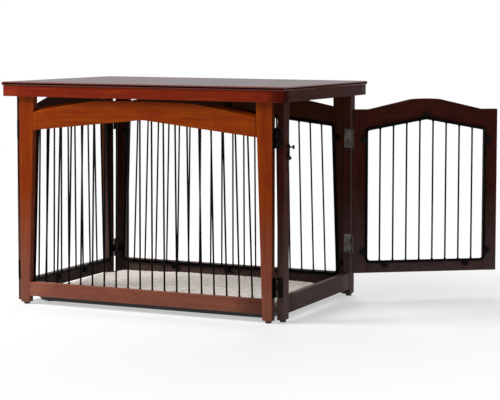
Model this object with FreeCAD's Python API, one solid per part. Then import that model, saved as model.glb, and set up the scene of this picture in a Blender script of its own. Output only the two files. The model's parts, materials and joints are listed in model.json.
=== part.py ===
import FreeCAD, Part
import math
import os

# A crate that is also an end table: four arched frame-and-wire panels stand corner to corner on
# small glides, a lift-off top with a deep apron holds them square, and one short side is a door.
# Millimetres. X runs along the long side, the front looks to -Y, Z is up and z = 0 is the floor.

# ---------- driving sizes: table top ----------
TABLE_HEIGHT = 580.0
TOP_LENGTH = 804.0
TOP_WIDTH = 552.0
SLAB_THICK = 10.0
SLAB_EDGE_ROUND = 4.0
TOP_OVERHANG = 4.0
APRON_THICK = 15.0
APRON_HEIGHT = 27.5
APRON_PLAY = 1.0            # between the apron's inner faces and the panels
SEAT_GAP = 0.3              # where a loose piece rests on another
CORNER_BLOCK = 20.0

# ---------- driving sizes: panels ----------
PANEL_THICK = 18.0
CORNER_GAP = 4.0            # between a long panel and the short panel beside it
RAIL_REVEAL = 0.5           # rails lie this much behind the posts' faces
POST_TOP_WIDTH = 45.0
POST_FOOT_WIDTH = 26.0
POST_ARRIS = 1.0
RAIL_ARRIS = 1.0
GLIDE_HEIGHT = 6.0
GLIDE_RADIUS = 8.0
GLIDE_CHAMFER = 1.0
RAIL_LIFT = 16.0            # underside of the low rails above the posts' feet
LOW_RAIL_DEPTH = 36.5
ARCH_CROWN_DROP = 33.0      # arch crown below the slab
ARCH_RISE = 35.5
ARCH_CROWN_BOW = 3.0
ARCH_SHOULDER = 0.47        # share of the half span where slope turns to crown
ARCH_BEVEL = 10.5           # an arch's shoulders rise this much from the outer face to the inner
ARCH_END_DEPTH = 46.0
VEE_RISE = 34.0
VEE_ROUND = 90.0            # radius at the peak of an arched rail's lower edge

# ---------- driving sizes: door frame and door ----------
SIDE_POST_WIDTH = 32.0
THRESHOLD_LIFT = 14.0
THRESHOLD_DEPTH = 44.0
HEADER_DEPTH = 21.0
HEADER_HIDE = 2.0           # header's underside above the apron's lower edge
DOOR_OPEN_DEG = 124.0
DOOR_HINGE_GAP = 3.0
DOOR_FREE_GAP = 2.5
DOOR_FOOT_GAP = 2.5
DOOR_HEAD_GAP = 8.0         # door crown below the apron
STILE_WIDTH = 36.0
DOOR_LOW_RAIL = 31.0
DOOR_ARCH_RISE = 28.5
DOOR_CROWN_BOW = 1.5
DOOR_SHOULDER = 0.2
DOOR_FLAT = 7.0             # level part of the arched rail beside each stile
DOOR_END_DEPTH = 54.0
DOOR_VEE_RISE = 30.0

# ---------- driving sizes: wire grilles ----------
ROD_RADIUS = 3.75
WIRE_RADIUS = 2.0
GRILLE_TUCK = 5.0           # rod centre behind the rails' edges of a panel
GRILLE_SIDE_TUCK = 1.0      # rod centre behind the posts' edges at their feet
GRILLE_HEAD_SHOW = 1.0      # rod centre in front of the posts' edges at the arch
DOOR_TUCK = 0.5             # rod centre behind the door's edges
GRILLE_LOW_BEND = 12.0
GRILLE_HIGH_BEND = 8.0
GRILLE_PEAK_BEND = 24.0
LONG_GAP_COUNT = 19
SHORT_GAP_COUNT = 11
DOOR_GAP_COUNT = 9
FACE_GAP = 0.05             # round metal beside wood
CLIP_RADIUS = 8.0
CLIP_REACH = 8.5            # clip centre to rod centre
CLIP_LIP = 2.0
CLIP_LOW = 26.0             # lowest side clips above the low rail's top
CLIP_HIGH = 31.0            # highest side clips below the arch's ends
DOOR_CLIP_LOW = 27.0
DOOR_CLIP_HIGH = 28.0
DOOR_CLIP_SPREAD = 112.0
PAN_HEAD_RADIUS = 3.4
PAN_HEAD_HEIGHT = 2.0
SHANK_RADIUS = 1.5
SCREW_BITE = 9.0            # shank length in the wood
DRIVE_WIDTH = 0.9
DRIVE_DEPTH = 0.8

# ---------- driving sizes: butt hinges ----------
HINGE_HEIGHT = 50.0
LEAF_THICK = 1.2
PIN_RADIUS = 1.2
PIN_PLAY = 0.05
PIN_HEAD_RADIUS = 2.2
PIN_HEAD_HEIGHT = 1.2
KNUCKLE_GAP = 0.4
CORNER_KNUCKLE_RADIUS = 2.7
DOOR_KNUCKLE_RADIUS = 3.0
DOOR_AXIS_OUT = 3.2         # door hinge axis in front of the frame's face
LEAF_EDGE = 1.0             # leaf stops this far short of the wood's edge
HINGE_SCREW_SPREAD = 33.0
FLAT_HEAD_RADIUS = 3.0
CORNER_HINGE_HIGH = 454.0   # hinge centres above the floor
CORNER_HINGE_LOW = 87.0
DOOR_HINGE_INSET = 78.0     # hinge centres from the stile's ends

# ---------- driving sizes: latch ----------
LATCH_PIVOT_Z = 405.0
LATCH_INSET = 9.0           # pivot from the post's opening edge
LATCH_PLATE_WIDTH = 12.0
LATCH_PLATE_UP = 38.0
LATCH_PLATE_DOWN = 32.0
LATCH_PLATE_THICK = 2.0
LATCH_SCREW_DROPS = (13.0, 26.0)
ARM_THICK = 2.5
ARM_WIDTH = 8.0
ARM_EYE_RADIUS = 6.0
ARM_REACH = 35.0
ARM_GAP = 0.3
PIVOT_RADIUS = 2.5
PIVOT_HEAD_RADIUS = 4.2
PIVOT_HEAD_HEIGHT = 4.0
KNOB_REACH = 27.0
KNOB_STEM_RADIUS = 2.0
KNOB_STEM_LENGTH = 8.5
KNOB_RADIUS = 5.4
KNOB_HEIGHT = 4.6
KEEPER_PLATE_THICK = 1.5
KEEPER_WIDTH = 11.0
KEEPER_HEIGHT = 36.0
KEEPER_EDGE = 4.0           # keeper from the door's free edge
KEEPER_SCREW_SPREAD = 26.0
KEEPER_HOOK_WIDTH = 7.0
KEEPER_HOOK_THICK = 1.6
KEEPER_SLOT_GAP = 0.8

# ---------- driving sizes: floor pan and mat ----------
PAN_FOOT_INSET = 26.0       # pan floor's edge inside the panels' inner faces
PAN_RIM_INSET = 15.0
PAN_FOOT_HEIGHT = 4.0
PAN_FOOT_RADIUS = 9.0
PAN_DEPTH = 20.0
PAN_SHEET = 2.0
PAN_CORNER = 25.0
MAT_INSET = 9.0             # mat's widest line inside the pan's floor edge
MAT_THICK = 27.0
MAT_CORNER = 40.0
MAT_EDGE = 12.0             # how far the mat's sides draw in at top and bottom
MAT_CROWN = 4.0
MAT_STEPS = 6

# ---------- places worked out from the sizes ----------
FRAME_INSET = TOP_OVERHANG + APRON_THICK + APRON_PLAY
OUT_X = TOP_LENGTH / 2 - FRAME_INSET
OUT_Y = TOP_WIDTH / 2 - FRAME_INSET
IN_X = OUT_X - PANEL_THICK
IN_Y = OUT_Y - PANEL_THICK
LONG_HALF = IN_X - CORNER_GAP
SHORT_HALF = IN_Y - CORNER_GAP
SLAB_UNDER = TABLE_HEIGHT - SLAB_THICK
APRON_LOW = SLAB_UNDER - APRON_HEIGHT
POST_TOP = SLAB_UNDER - SEAT_GAP
POST_FOOT = GLIDE_HEIGHT
LOW_RAIL_UNDER = POST_FOOT + RAIL_LIFT
LOW_RAIL_TOP = LOW_RAIL_UNDER + LOW_RAIL_DEPTH
ARCH_CROWN = SLAB_UNDER - ARCH_CROWN_DROP
ARCH_END = ARCH_CROWN - ARCH_RISE
ARCH_UNDER = ARCH_END - ARCH_END_DEPTH
THRESHOLD_TOP = POST_FOOT + THRESHOLD_LIFT + THRESHOLD_DEPTH
JAMB = SHORT_HALF - SIDE_POST_WIDTH
DOOR_FOOT = THRESHOLD_TOP + DOOR_FOOT_GAP
DOOR_CROWN = APRON_LOW - DOOR_HEAD_GAP
DOOR_HEAD = DOOR_CROWN - DOOR_ARCH_RISE
DOOR_HINGE_EDGE = JAMB - DOOR_HINGE_GAP
DOOR_FREE_EDGE = -JAMB + DOOR_FREE_GAP
DOOR_MIDDLE = (DOOR_HINGE_EDGE + DOOR_FREE_EDGE) / 2
DOOR_HALF = (DOOR_HINGE_EDGE - DOOR_FREE_EDGE) / 2
DOOR_AXIS_Y = JAMB - DOOR_HINGE_GAP / 2
DOOR_AXIS_X = OUT_X + DOOR_AXIS_OUT
ROD_CENTRE = PANEL_THICK + FACE_GAP + ROD_RADIUS
CLIP_HEIGHT = 2 * ROD_RADIUS + 2 * FACE_GAP + CLIP_LIP
LATCH_Y = -JAMB - LATCH_INSET
UP = FreeCAD.Vector(0, 0, 1)


def vec(x, y, z):
    return FreeCAD.Vector(x, y, z)


def turned(shape, degrees, x=0.0, y=0.0):
    """A copy turned about the vertical line through the origin, then moved."""
    moved = shape.copy()
    moved.rotate(vec(0, 0, 0), UP, degrees)
    moved.translate(vec(x, y, 0))
    return moved


def upright(edges, y0, y1):
    """A plate from an outline in the XZ plane, between two depths."""
    face = Part.Face(Part.Wire(edges))
    face.translate(vec(0, y0, 0))
    return face.extrude(vec(0, y1 - y0, 0))


def line(a, b):
    return Part.LineSegment(vec(a[0], 0, a[1]), vec(b[0], 0, b[1])).toShape()


def arc(a, middle, b):
    return Part.Arc(vec(a[0], 0, a[1]), vec(middle[0], 0, middle[1]), vec(b[0], 0, b[1])).toShape()


def polygon(points, y0, y1):
    sides = [line(points[i - 1], points[i]) for i in range(len(points))]
    return upright(sides, y0, y1)


def eased(shape, radius, shortest):
    """Rounds the long edges of a straight piece."""
    return shape.makeFillet(radius, [e for e in shape.Edges if e.Length > shortest])


def softened(rail):
    """Rounds a rail's lengthwise edges on both faces, and leaves its ends sharp."""
    lengthwise = [e for e in rail.Edges if e.BoundBox.YLength < e.BoundBox.XLength > e.BoundBox.ZLength]
    return rail.makeFillet(RAIL_ARRIS, lengthwise)


def bent_loop(points, radii):
    """Closed loop of straight runs joined by tangent arcs, in the XZ plane."""
    joints = []
    for i, (point, radius) in enumerate(zip(points, radii)):
        back = (points[i - 1] - point).normalize()
        ahead = (points[(i + 1) % len(points)] - point).normalize()
        half = math.acos(back.dot(ahead)) / 2
        reach = radius / math.tan(half)
        inward = (back + ahead).normalize() * (radius / math.sin(half) - radius)
        joints.append((point + back * reach, point + inward, point + ahead * reach))
    edges = []
    for i, (start, middle, end) in enumerate(joints):
        edges.append(Part.Arc(start, middle, end).toShape())
        edges.append(Part.LineSegment(end, joints[(i + 1) % len(joints)][0]).toShape())
    return Part.Wire(edges)


# ---------- screws ----------
def screw_profile(radii_heights):
    """A turned solid about Z from (radius, z) points, closed along the axis."""
    points = [vec(0, 0, radii_heights[0][1])]
    points += [vec(r, 0, z) for r, z in radii_heights]
    points += [vec(0, 0, radii_heights[-1][1]), points[0]]
    return Part.Face(Part.makePolygon(points)).revolve(vec(0, 0, 0), UP, 360)


def drive_cut(top, width):
    slot = Part.makeBox(width, DRIVE_WIDTH, DRIVE_DEPTH, vec(-width / 2, -DRIVE_WIDTH / 2, top - DRIVE_DEPTH))
    cross = slot.copy()
    cross.rotate(vec(0, 0, 0), UP, 90)
    return slot.fuse(cross)


def pan_screw(grip):
    """Pan-head screw standing on z = 0, its shank passing the grip and biting into the wood."""
    body = screw_profile([(SHANK_RADIUS, -grip - SCREW_BITE), (SHANK_RADIUS, 0),
                          (PAN_HEAD_RADIUS, 0), (PAN_HEAD_RADIUS, PAN_HEAD_HEIGHT / 2),
                          (PAN_HEAD_RADIUS * 0.7, PAN_HEAD_HEIGHT)])
    return body.cut(drive_cut(PAN_HEAD_HEIGHT, PAN_HEAD_RADIUS * 1.1))


def flat_screw(play=0.0):
    """Countersunk screw, head flush with z = 0. With play it is the hole that the screw goes in."""
    neck = SHANK_RADIUS + play
    head = FLAT_HEAD_RADIUS + play
    body = screw_profile([(neck, -SCREW_BITE - play), (neck, -(head - neck)), (head, 0)])
    if play:
        return body.fuse(Part.makeCylinder(head, 1.0))
    return body.cut(drive_cut(0, FLAT_HEAD_RADIUS * 1.1))


def shank_hole(depth):
    return Part.makeCylinder(SHANK_RADIUS + FACE_GAP, depth, vec(0, 0, -depth))


def aimed(shape, direction, place):
    """A copy whose +Z points along a direction, with its origin at a place."""
    moved = shape.copy()
    moved.Placement = FreeCAD.Placement(place, FreeCAD.Rotation(UP, direction))
    return moved


# ---------- panels, drawn with the outer face at y = 0 and the inner face at y = PANEL_THICK ----------
def post_inner(half_span, z):
    """Distance of a tapered post's inner edge from the panel's middle."""
    share = (z - POST_FOOT) / (POST_TOP - POST_FOOT)
    return half_span - POST_FOOT_WIDTH - (POST_TOP_WIDTH - POST_FOOT_WIDTH) * share


def tapered_post(half_span, side):
    foot, head = post_inner(half_span, POST_FOOT), post_inner(half_span, POST_TOP)
    post = polygon([(side * half_span, POST_FOOT), (side * half_span, POST_TOP),
                    (side * head, POST_TOP), (side * foot, POST_FOOT)], 0, PANEL_THICK)
    return eased(post, POST_ARRIS, POST_TOP_WIDTH)


def peaked_lower_edge(half_low, end_z, rise):
    """Lower edge of an arched rail, right to left: two slopes with a rounded peak."""
    slope = math.atan2(rise, half_low)
    reach = VEE_ROUND * math.sin(slope)
    round_z = end_z + rise - reach * math.tan(slope)
    peak_z = round_z + VEE_ROUND * (1 - math.cos(slope))
    return [line((half_low, end_z), (reach, round_z)),
            arc((reach, round_z), (0, peak_z), (-reach, round_z)),
            line((-reach, round_z), (-half_low, end_z))]


def shoulder_cut(side, high, shoulder):
    """Prism above the tilted plane of one shoulder. The plane holds the straight line from shoulder to rail
    end on the outer face, and is ARCH_BEVEL higher on the inner face."""
    fall = (ARCH_CROWN - ARCH_CROWN_BOW - ARCH_END) / (high - shoulder)
    tilt = ARCH_BEVEL / (PANEL_THICK - 2 * RAIL_REVEAL)
    x = shoulder * 0.9
    z = ARCH_CROWN - ARCH_CROWN_BOW + fall * (shoulder - x)
    near, far = -RAIL_REVEAL, PANEL_THICK + RAIL_REVEAL
    corners = [(near, z + tilt * (near - RAIL_REVEAL)), (far, z + tilt * (far - RAIL_REVEAL)),
               (far, SLAB_UNDER), (near, SLAB_UNDER)]
    section = Part.Face(Part.makePolygon([vec(side * x, y, z) for y, z in corners + corners[:1]]))
    run = high - x + POST_TOP_WIDTH
    return section.extrude(vec(side * run, 0, -fall * run))


def arched_rail(half_span):
    """Rail with a shallow crown bow above and a peak below, whose shoulders are sawn off on a bevel."""
    high, low = post_inner(half_span, ARCH_END), post_inner(half_span, ARCH_UNDER)
    shoulder = high * ARCH_SHOULDER
    drop = ARCH_CROWN_BOW / ARCH_SHOULDER ** 2
    end = post_inner(half_span, ARCH_CROWN - drop)
    edges = [line((-low, ARCH_UNDER), (-end, ARCH_CROWN - drop)),
             arc((-end, ARCH_CROWN - drop), (0, ARCH_CROWN), (end, ARCH_CROWN - drop)),
             line((end, ARCH_CROWN - drop), (low, ARCH_UNDER))]
    edges += peaked_lower_edge(low, ARCH_UNDER, VEE_RISE)
    rail = softened(upright(edges, RAIL_REVEAL, PANEL_THICK - RAIL_REVEAL))
    return rail.cut(shoulder_cut(-1, high, shoulder)).cut(shoulder_cut(1, high, shoulder))


def low_rail(half_span):
    top, under = post_inner(half_span, LOW_RAIL_TOP), post_inner(half_span, LOW_RAIL_UNDER)
    return softened(polygon([(-under, LOW_RAIL_UNDER), (under, LOW_RAIL_UNDER), (top, LOW_RAIL_TOP),
                             (-top, LOW_RAIL_TOP)], RAIL_REVEAL, PANEL_THICK - RAIL_REVEAL))


def grille(half_width, half_head, low_z, side_z, peak_z, gaps):
    """Welded grille: a bent rod frame, half_head wide at its shoulders, and wires that fan out downwards
    from its peaked run to even gaps on its low run."""
    corners = [vec(-half_width, 0, low_z), vec(half_width, 0, low_z), vec(half_head, 0, side_z),
               vec(0, 0, peak_z), vec(-half_head, 0, side_z)]
    loop = bent_loop(corners, [GRILLE_LOW_BEND, GRILLE_LOW_BEND, GRILLE_HIGH_BEND,
                               GRILLE_PEAK_BEND, GRILLE_HIGH_BEND])
    first = loop.OrderedEdges[0]
    start = first.valueAt(first.FirstParameter)
    ring = Part.Wire([Part.makeCircle(ROD_RADIUS, start, first.tangentAt(first.FirstParameter))])
    frame = loop.makePipeShell([ring], True, False)
    taper = (half_width - half_head) / (side_z - low_z)
    wires = []
    for i in range(1, gaps):
        share = 2 * i / gaps - 1
        fall = (peak_z - side_z) / half_head * abs(share)
        top = (peak_z - fall * (half_width + taper * low_z)) / (1 - fall * taper)
        if abs(share) < 2 / gaps:
            top -= ROD_RADIUS / 3
        foot = vec(share * half_width, 0, low_z)
        run = vec(share * (half_width - taper * (top - low_z)), 0, top) - foot
        wires.append(Part.makeCylinder(WIRE_RADIUS, run.Length, foot, run))
    welded = frame.multiFuse(wires).Solids[0]
    welded.translate(vec(0, ROD_CENTRE, 0))
    return welded


def clip(x, z, towards):
    """Round clip on the inner face whose lip lies over the rod, which is in the given direction."""
    seat = -RAIL_REVEAL if abs(towards[1]) > abs(towards[0]) else 0.0
    tall = CLIP_HEIGHT - seat
    disc = Part.makeCylinder(CLIP_RADIUS, tall, vec(0, seat, 0), vec(0, 1, 0))
    disc = disc.makeFillet(CLIP_LIP * 0.6, [e for e in disc.Edges if e.Closed and e.CenterOfMass.y > CLIP_LIP])
    near = CLIP_REACH - ROD_RADIUS - FACE_GAP
    room = Part.makeBox(CLIP_RADIUS, tall - CLIP_LIP, 2 * CLIP_RADIUS, vec(near, seat, -CLIP_RADIUS))
    bore = Part.makeCylinder(SHANK_RADIUS + FACE_GAP, tall, vec(0, seat, 0), vec(0, 1, 0))
    body = disc.cut(room).cut(bore)
    body.rotate(vec(0, 0, 0), vec(0, 1, 0), -math.degrees(math.atan2(towards[1], towards[0])))
    body.translate(vec(x, PANEL_THICK, z))
    return body


def clip_set(places):
    """Clips, their screws and the screw holes for (x, z, direction to the rod) places."""
    clips, screws, holes = [], [], []
    for x, z, towards in places:
        clips.append(clip(x, z, towards))
        head = vec(x, PANEL_THICK + CLIP_HEIGHT, z)
        screws.append(aimed(pan_screw(CLIP_HEIGHT), vec(0, 1, 0), head))
        holes.append(aimed(shank_hole(CLIP_HEIGHT + SCREW_BITE + FACE_GAP), vec(0, 1, 0), head))
    return clips, screws, holes


def panel_clip_places(half_width, half_head, low_z, side_z, peak_z, low_count):
    places = []
    lean = math.atan2(half_width - half_head, side_z - low_z)
    for side in (-1, 1):
        for z in (LOW_RAIL_TOP + CLIP_LOW, ARCH_UNDER - CLIP_HIGH):
            rod = half_width - (z - low_z) * math.tan(lean)
            places.append((side * (rod + CLIP_REACH * math.cos(lean)), z + CLIP_REACH * math.sin(lean),
                           (-side * math.cos(lean), -math.sin(lean))))
    pitch = 2 * half_width / (low_count + 1)
    for i in range(low_count):
        places.append((-half_width + pitch * (i + 1), low_z - CLIP_REACH, (0, 1)))
    places.append((0, peak_z + CLIP_REACH, (0, -1)))
    return places


def panel(half_span, gaps, low_clips):
    """One fixed panel as a dictionary of pieces."""
    half_width = half_span - POST_FOOT_WIDTH - GRILLE_SIDE_TUCK
    low_z = LOW_RAIL_TOP - GRILLE_TUCK
    side_z = ARCH_UNDER + GRILLE_TUCK
    half_head = post_inner(half_span, side_z) - GRILLE_HEAD_SHOW
    peak_z = side_z + VEE_RISE
    places = panel_clip_places(half_width, half_head, low_z, side_z, peak_z, low_clips)
    clips, screws, holes = clip_set(places)
    drilled = Part.makeCompound(holes)
    return {"post_left": tapered_post(half_span, -1).cut(drilled),
            "post_right": tapered_post(half_span, 1).cut(drilled),
            "top_rail": arched_rail(half_span).cut(drilled),
            "bottom_rail": low_rail(half_span).cut(drilled),
            "grille": grille(half_width, half_head, low_z, side_z, peak_z, gaps),
            "grille_clips": Part.makeCompound(clips),
            "screws": Part.makeCompound(screws)}


# ---------- door frame and door, drawn like a panel, hinge side towards +x ----------
def side_post(side):
    post = polygon([(side * SHORT_HALF, POST_FOOT), (side * SHORT_HALF, POST_TOP),
                    (side * JAMB, POST_TOP), (side * JAMB, POST_FOOT)], 0, PANEL_THICK)
    return eased(post, POST_ARRIS, SIDE_POST_WIDTH)


def side_rail(low_z, high_z):
    return softened(polygon([(-JAMB, low_z), (JAMB, low_z), (JAMB, high_z), (-JAMB, high_z)],
                            RAIL_REVEAL, PANEL_THICK - RAIL_REVEAL))


def door_stile(side):
    inner = DOOR_HALF - STILE_WIDTH
    stile = polygon([(side * DOOR_HALF, DOOR_FOOT), (side * DOOR_HALF, DOOR_HEAD),
                     (side * inner, DOOR_HEAD), (side * inner, DOOR_FOOT)], 0, PANEL_THICK)
    return eased(stile, POST_ARRIS, STILE_WIDTH)


def door_arched_rail():
    end = DOOR_HALF - STILE_WIDTH
    bend = end - DOOR_FLAT
    shoulder = DOOR_HALF * DOOR_SHOULDER
    shoulder_z = DOOR_CROWN - DOOR_CROWN_BOW
    under = DOOR_HEAD - DOOR_END_DEPTH
    edges = [line((-end, under), (-end, DOOR_HEAD)),
             line((-end, DOOR_HEAD), (-bend, DOOR_HEAD)),
             line((-bend, DOOR_HEAD), (-shoulder, shoulder_z)),
             arc((-shoulder, shoulder_z), (0, DOOR_CROWN), (shoulder, shoulder_z)),
             line((shoulder, shoulder_z), (bend, DOOR_HEAD)),
             line((bend, DOOR_HEAD), (end, DOOR_HEAD)),
             line((end, DOOR_HEAD), (end, under))]
    edges += peaked_lower_edge(end, under, DOOR_VEE_RISE)
    return softened(upright(edges, RAIL_REVEAL, PANEL_THICK - RAIL_REVEAL))


def door_low_rail():
    end = DOOR_HALF - STILE_WIDTH
    return softened(polygon([(-end, DOOR_FOOT), (end, DOOR_FOOT), (end, DOOR_FOOT + DOOR_LOW_RAIL),
                             (-end, DOOR_FOOT + DOOR_LOW_RAIL)], RAIL_REVEAL, PANEL_THICK - RAIL_REVEAL))


def door_pieces():
    """The closed door about its own middle."""
    half_width = DOOR_HALF - STILE_WIDTH + DOOR_TUCK
    low_z = DOOR_FOOT + DOOR_LOW_RAIL - DOOR_TUCK
    side_z = DOOR_HEAD - DOOR_END_DEPTH + DOOR_TUCK
    peak_z = side_z + DOOR_VEE_RISE
    places = [(0, peak_z + CLIP_REACH, (0, -1))]
    for side in (-1, 1):
        for z in (low_z + DOOR_CLIP_LOW, side_z - DOOR_CLIP_HIGH):
            places.append((side * (half_width + CLIP_REACH), z, (-side, 0)))
        places.append((side * DOOR_CLIP_SPREAD, low_z - CLIP_REACH, (0, 1)))
    clips, screws, holes = clip_set(places)
    drilled = Part.makeCompound(holes)
    return {"door_stile_free": door_stile(-1).cut(drilled),
            "door_stile_hinge": door_stile(1).cut(drilled),
            "door_top_rail": door_arched_rail().cut(drilled),
            "door_bottom_rail": door_low_rail().cut(drilled),
            "door_grille": grille(half_width, half_width, low_z, side_z, peak_z, DOOR_GAP_COUNT),
            "door_grille_clips": Part.makeCompound(clips),
            "door_clip_screws": Part.makeCompound(screws)}


# ---------- butt hinges, drawn with the pin along Z and the leaves towards -x ----------
def hinge_leaf(side, offset, reach, knuckle, own_spans):
    """A leaf whose outer face is at y = side * offset. It owns the knuckles of the given spans."""
    low = min(side * offset, side * (offset - LEAF_THICK))
    bottom = -HINGE_HEIGHT / 2
    leaf = Part.makeBox(reach, LEAF_THICK, HINGE_HEIGHT, vec(-reach, low, bottom))
    third = HINGE_HEIGHT / 3
    for i in range(3):
        z = bottom + third * i
        if i in own_spans:
            leaf = leaf.fuse(Part.makeCylinder(knuckle, third - KNUCKLE_GAP, vec(0, 0, z + KNUCKLE_GAP / 2)))
        else:
            leaf = leaf.cut(Part.makeCylinder(knuckle + KNUCKLE_GAP, third, vec(0, 0, z)))
    return leaf.cut(Part.makeCylinder(PIN_RADIUS + PIN_PLAY, 2 * HINGE_HEIGHT, vec(0, 0, -HINGE_HEIGHT)))


def hinge_pin():
    shaft = Part.makeCylinder(PIN_RADIUS, HINGE_HEIGHT, vec(0, 0, -HINGE_HEIGHT / 2))
    head = Part.makeCylinder(PIN_HEAD_RADIUS, PIN_HEAD_HEIGHT, vec(0, 0, HINGE_HEIGHT / 2))
    return shaft.fuse(head.makeFillet(PIN_HEAD_HEIGHT / 3, [head.Edges[0]]))


def leaf_screws(side, offset, middle_x):
    """Screws of one leaf and their holes, heads flush with the leaf's exposed face."""
    face = side * (offset - LEAF_THICK)
    out = vec(0, -side, 0)
    screws, holes = [], []
    for z in (-HINGE_SCREW_SPREAD / 2, HINGE_SCREW_SPREAD / 2):
        place = vec(middle_x, face, z)
        screws.append(aimed(flat_screw(), out, place))
        holes.append(aimed(flat_screw(FACE_GAP), out, place))
    return screws, holes


def corner_hinge():
    """Hinge of the corner at +X, +Y in table coordinates, at height zero."""
    offset = CORNER_GAP / 2
    reach = offset + PANEL_THICK - LEAF_EDGE
    middle = -offset - PANEL_THICK / 2
    axis = vec(LONG_HALF + offset, SHORT_HALF + offset, 0)
    parts = {}
    for name, side, spans, degrees in (("long", -1, (0, 2), -90), ("short", 1, (1,), 180)):
        leaf = hinge_leaf(side, offset, reach, CORNER_KNUCKLE_RADIUS, spans)
        screws, holes = leaf_screws(side, offset, middle)
        leaf = leaf.cut(Part.makeCompound(holes))
        group = [leaf] + screws + holes
        for shape in group:
            shape.rotate(vec(0, 0, 0), UP, degrees)
            shape.translate(axis)
        parts[name] = (group[0], group[1:3], group[3:5])
    pin = hinge_pin()
    pin.translate(axis)
    return parts, pin


def corner_hinges():
    """All eight corner hinges: leaves, pins, screws and the holes in the posts."""
    parts, pin = corner_hinge()
    groups = {"long": [], "short": [], "pins": [], "screws": [], "holes": []}
    for mirror_x in (False, True):
        for mirror_y in (False, True):
            for z in (CORNER_HINGE_LOW, CORNER_HINGE_HIGH):
                def put(shape):
                    placed = shape.copy()
                    if mirror_x:
                        placed = placed.mirror(vec(0, 0, 0), vec(1, 0, 0))
                    if mirror_y:
                        placed = placed.mirror(vec(0, 0, 0), vec(0, 1, 0))
                    placed.translate(vec(0, 0, z))
                    return placed
                for name in ("long", "short"):
                    leaf, screws, holes = parts[name]
                    groups[name].append(put(leaf))
                    groups["screws"] += [put(s) for s in screws]
                    groups["holes"] += [put(h) for h in holes]
                groups["pins"].append(put(pin))
    return groups


def door_hinges():
    """Both door hinges with the door closed: post leaves, door leaves, pins, screws and holes."""
    offset = DOOR_HINGE_GAP / 2
    reach = DOOR_AXIS_OUT + PANEL_THICK - LEAF_EDGE
    middle = -DOOR_AXIS_OUT - PANEL_THICK / 2
    groups = {"post_leaf": [], "door_leaf": [], "pins": [], "post_screws": [], "door_screws": [],
              "post_holes": [], "door_holes": []}
    for z in (DOOR_FOOT + DOOR_HINGE_INSET, DOOR_HEAD - DOOR_HINGE_INSET):
        axis = vec(DOOR_AXIS_X, DOOR_AXIS_Y, z)
        for name, side, spans in (("post", 1, (0, 2)), ("door", -1, (1,))):
            leaf = hinge_leaf(side, offset, reach, DOOR_KNUCKLE_RADIUS, spans)
            screws, holes = leaf_screws(side, offset, middle)
            leaf = leaf.cut(Part.makeCompound(holes))
            for shape in [leaf] + screws + holes:
                shape.translate(axis)
            groups[name + "_leaf"].append(leaf)
            groups[name + "_screws"] += screws
            groups[name + "_holes"] += holes
        pin = hinge_pin()
        pin.translate(axis)
        groups["pins"].append(pin)
    return groups


# ---------- latch, drawn on a face at x = 0 that looks to +X ----------
def slab_with_round_ends(width, low, high, thick):
    """An upright strap with round ends, centred on y = 0, from x = 0 outwards."""
    r = width / 2
    edges = [Part.LineSegment(vec(0, r, low + r), vec(0, r, high - r)).toShape(),
             Part.Arc(vec(0, r, high - r), vec(0, 0, high), vec(0, -r, high - r)).toShape(),
             Part.LineSegment(vec(0, -r, high - r), vec(0, -r, low + r)).toShape(),
             Part.Arc(vec(0, -r, low + r), vec(0, 0, low), vec(0, r, low + r)).toShape()]
    return Part.Face(Part.Wire(edges)).extrude(vec(thick, 0, 0))


def latch_pieces():
    """Latch about its pivot at y = 0, z = 0: plate, pivot, arm, knob, plate screws and holes."""
    out = vec(1, 0, 0)
    plate = slab_with_round_ends(LATCH_PLATE_WIDTH, -LATCH_PLATE_DOWN, LATCH_PLATE_UP, LATCH_PLATE_THICK)
    drops = [-LATCH_SCREW_DROPS[0], -LATCH_SCREW_DROPS[1], LATCH_PLATE_UP - LATCH_SCREW_DROPS[0]]
    screws = [aimed(flat_screw(), out, vec(LATCH_PLATE_THICK, 0, z)) for z in drops]
    holes = [aimed(flat_screw(FACE_GAP), out, vec(LATCH_PLATE_THICK, 0, z)) for z in drops]
    arm_x = LATCH_PLATE_THICK + ARM_GAP
    arm = slab_with_round_ends(ARM_WIDTH, -ARM_WIDTH / 2, ARM_REACH, ARM_THICK)
    arm = arm.fuse(Part.makeCylinder(ARM_EYE_RADIUS, ARM_THICK, vec(0, 0, 0), out)).removeSplitter()
    arm.translate(vec(arm_x, 0, 0))
    arm = arm.cut(Part.makeCylinder(PIVOT_RADIUS + PIN_PLAY, ARM_THICK * 3, vec(0, 0, 0), out))
    stem_hole = Part.makeCylinder(KNOB_STEM_RADIUS, ARM_THICK, vec(arm_x, 0, KNOB_REACH), out)
    arm = arm.cut(stem_hole)
    head_x = arm_x + ARM_THICK + ARM_GAP
    shaft = Part.makeCylinder(PIVOT_RADIUS, head_x - LATCH_PLATE_THICK, vec(LATCH_PLATE_THICK, 0, 0), out)
    dome = Part.makeCylinder(PIVOT_HEAD_RADIUS, PIVOT_HEAD_HEIGHT, vec(head_x, 0, 0), out)
    dome = dome.makeFillet(PIVOT_HEAD_HEIGHT * 0.6, [e for e in dome.Edges if e.CenterOfMass.x > head_x + 1
                                                    and e.Closed])
    stem = Part.makeCylinder(KNOB_STEM_RADIUS, ARM_THICK + KNOB_STEM_LENGTH, vec(arm_x, 0, KNOB_REACH), out)
    knob_x = arm_x + ARM_THICK + KNOB_STEM_LENGTH
    cap = Part.makeCylinder(KNOB_RADIUS, KNOB_HEIGHT, vec(knob_x, 0, KNOB_REACH), out)
    cap = cap.makeFillet(KNOB_HEIGHT * 0.45, [e for e in cap.Edges if e.Closed])
    return {"plate": plate.cut(Part.makeCompound(holes)), "pivot": shaft.fuse(dome), "arm": arm,
            "knob": stem.fuse(cap), "screws": screws, "holes": holes}


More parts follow.
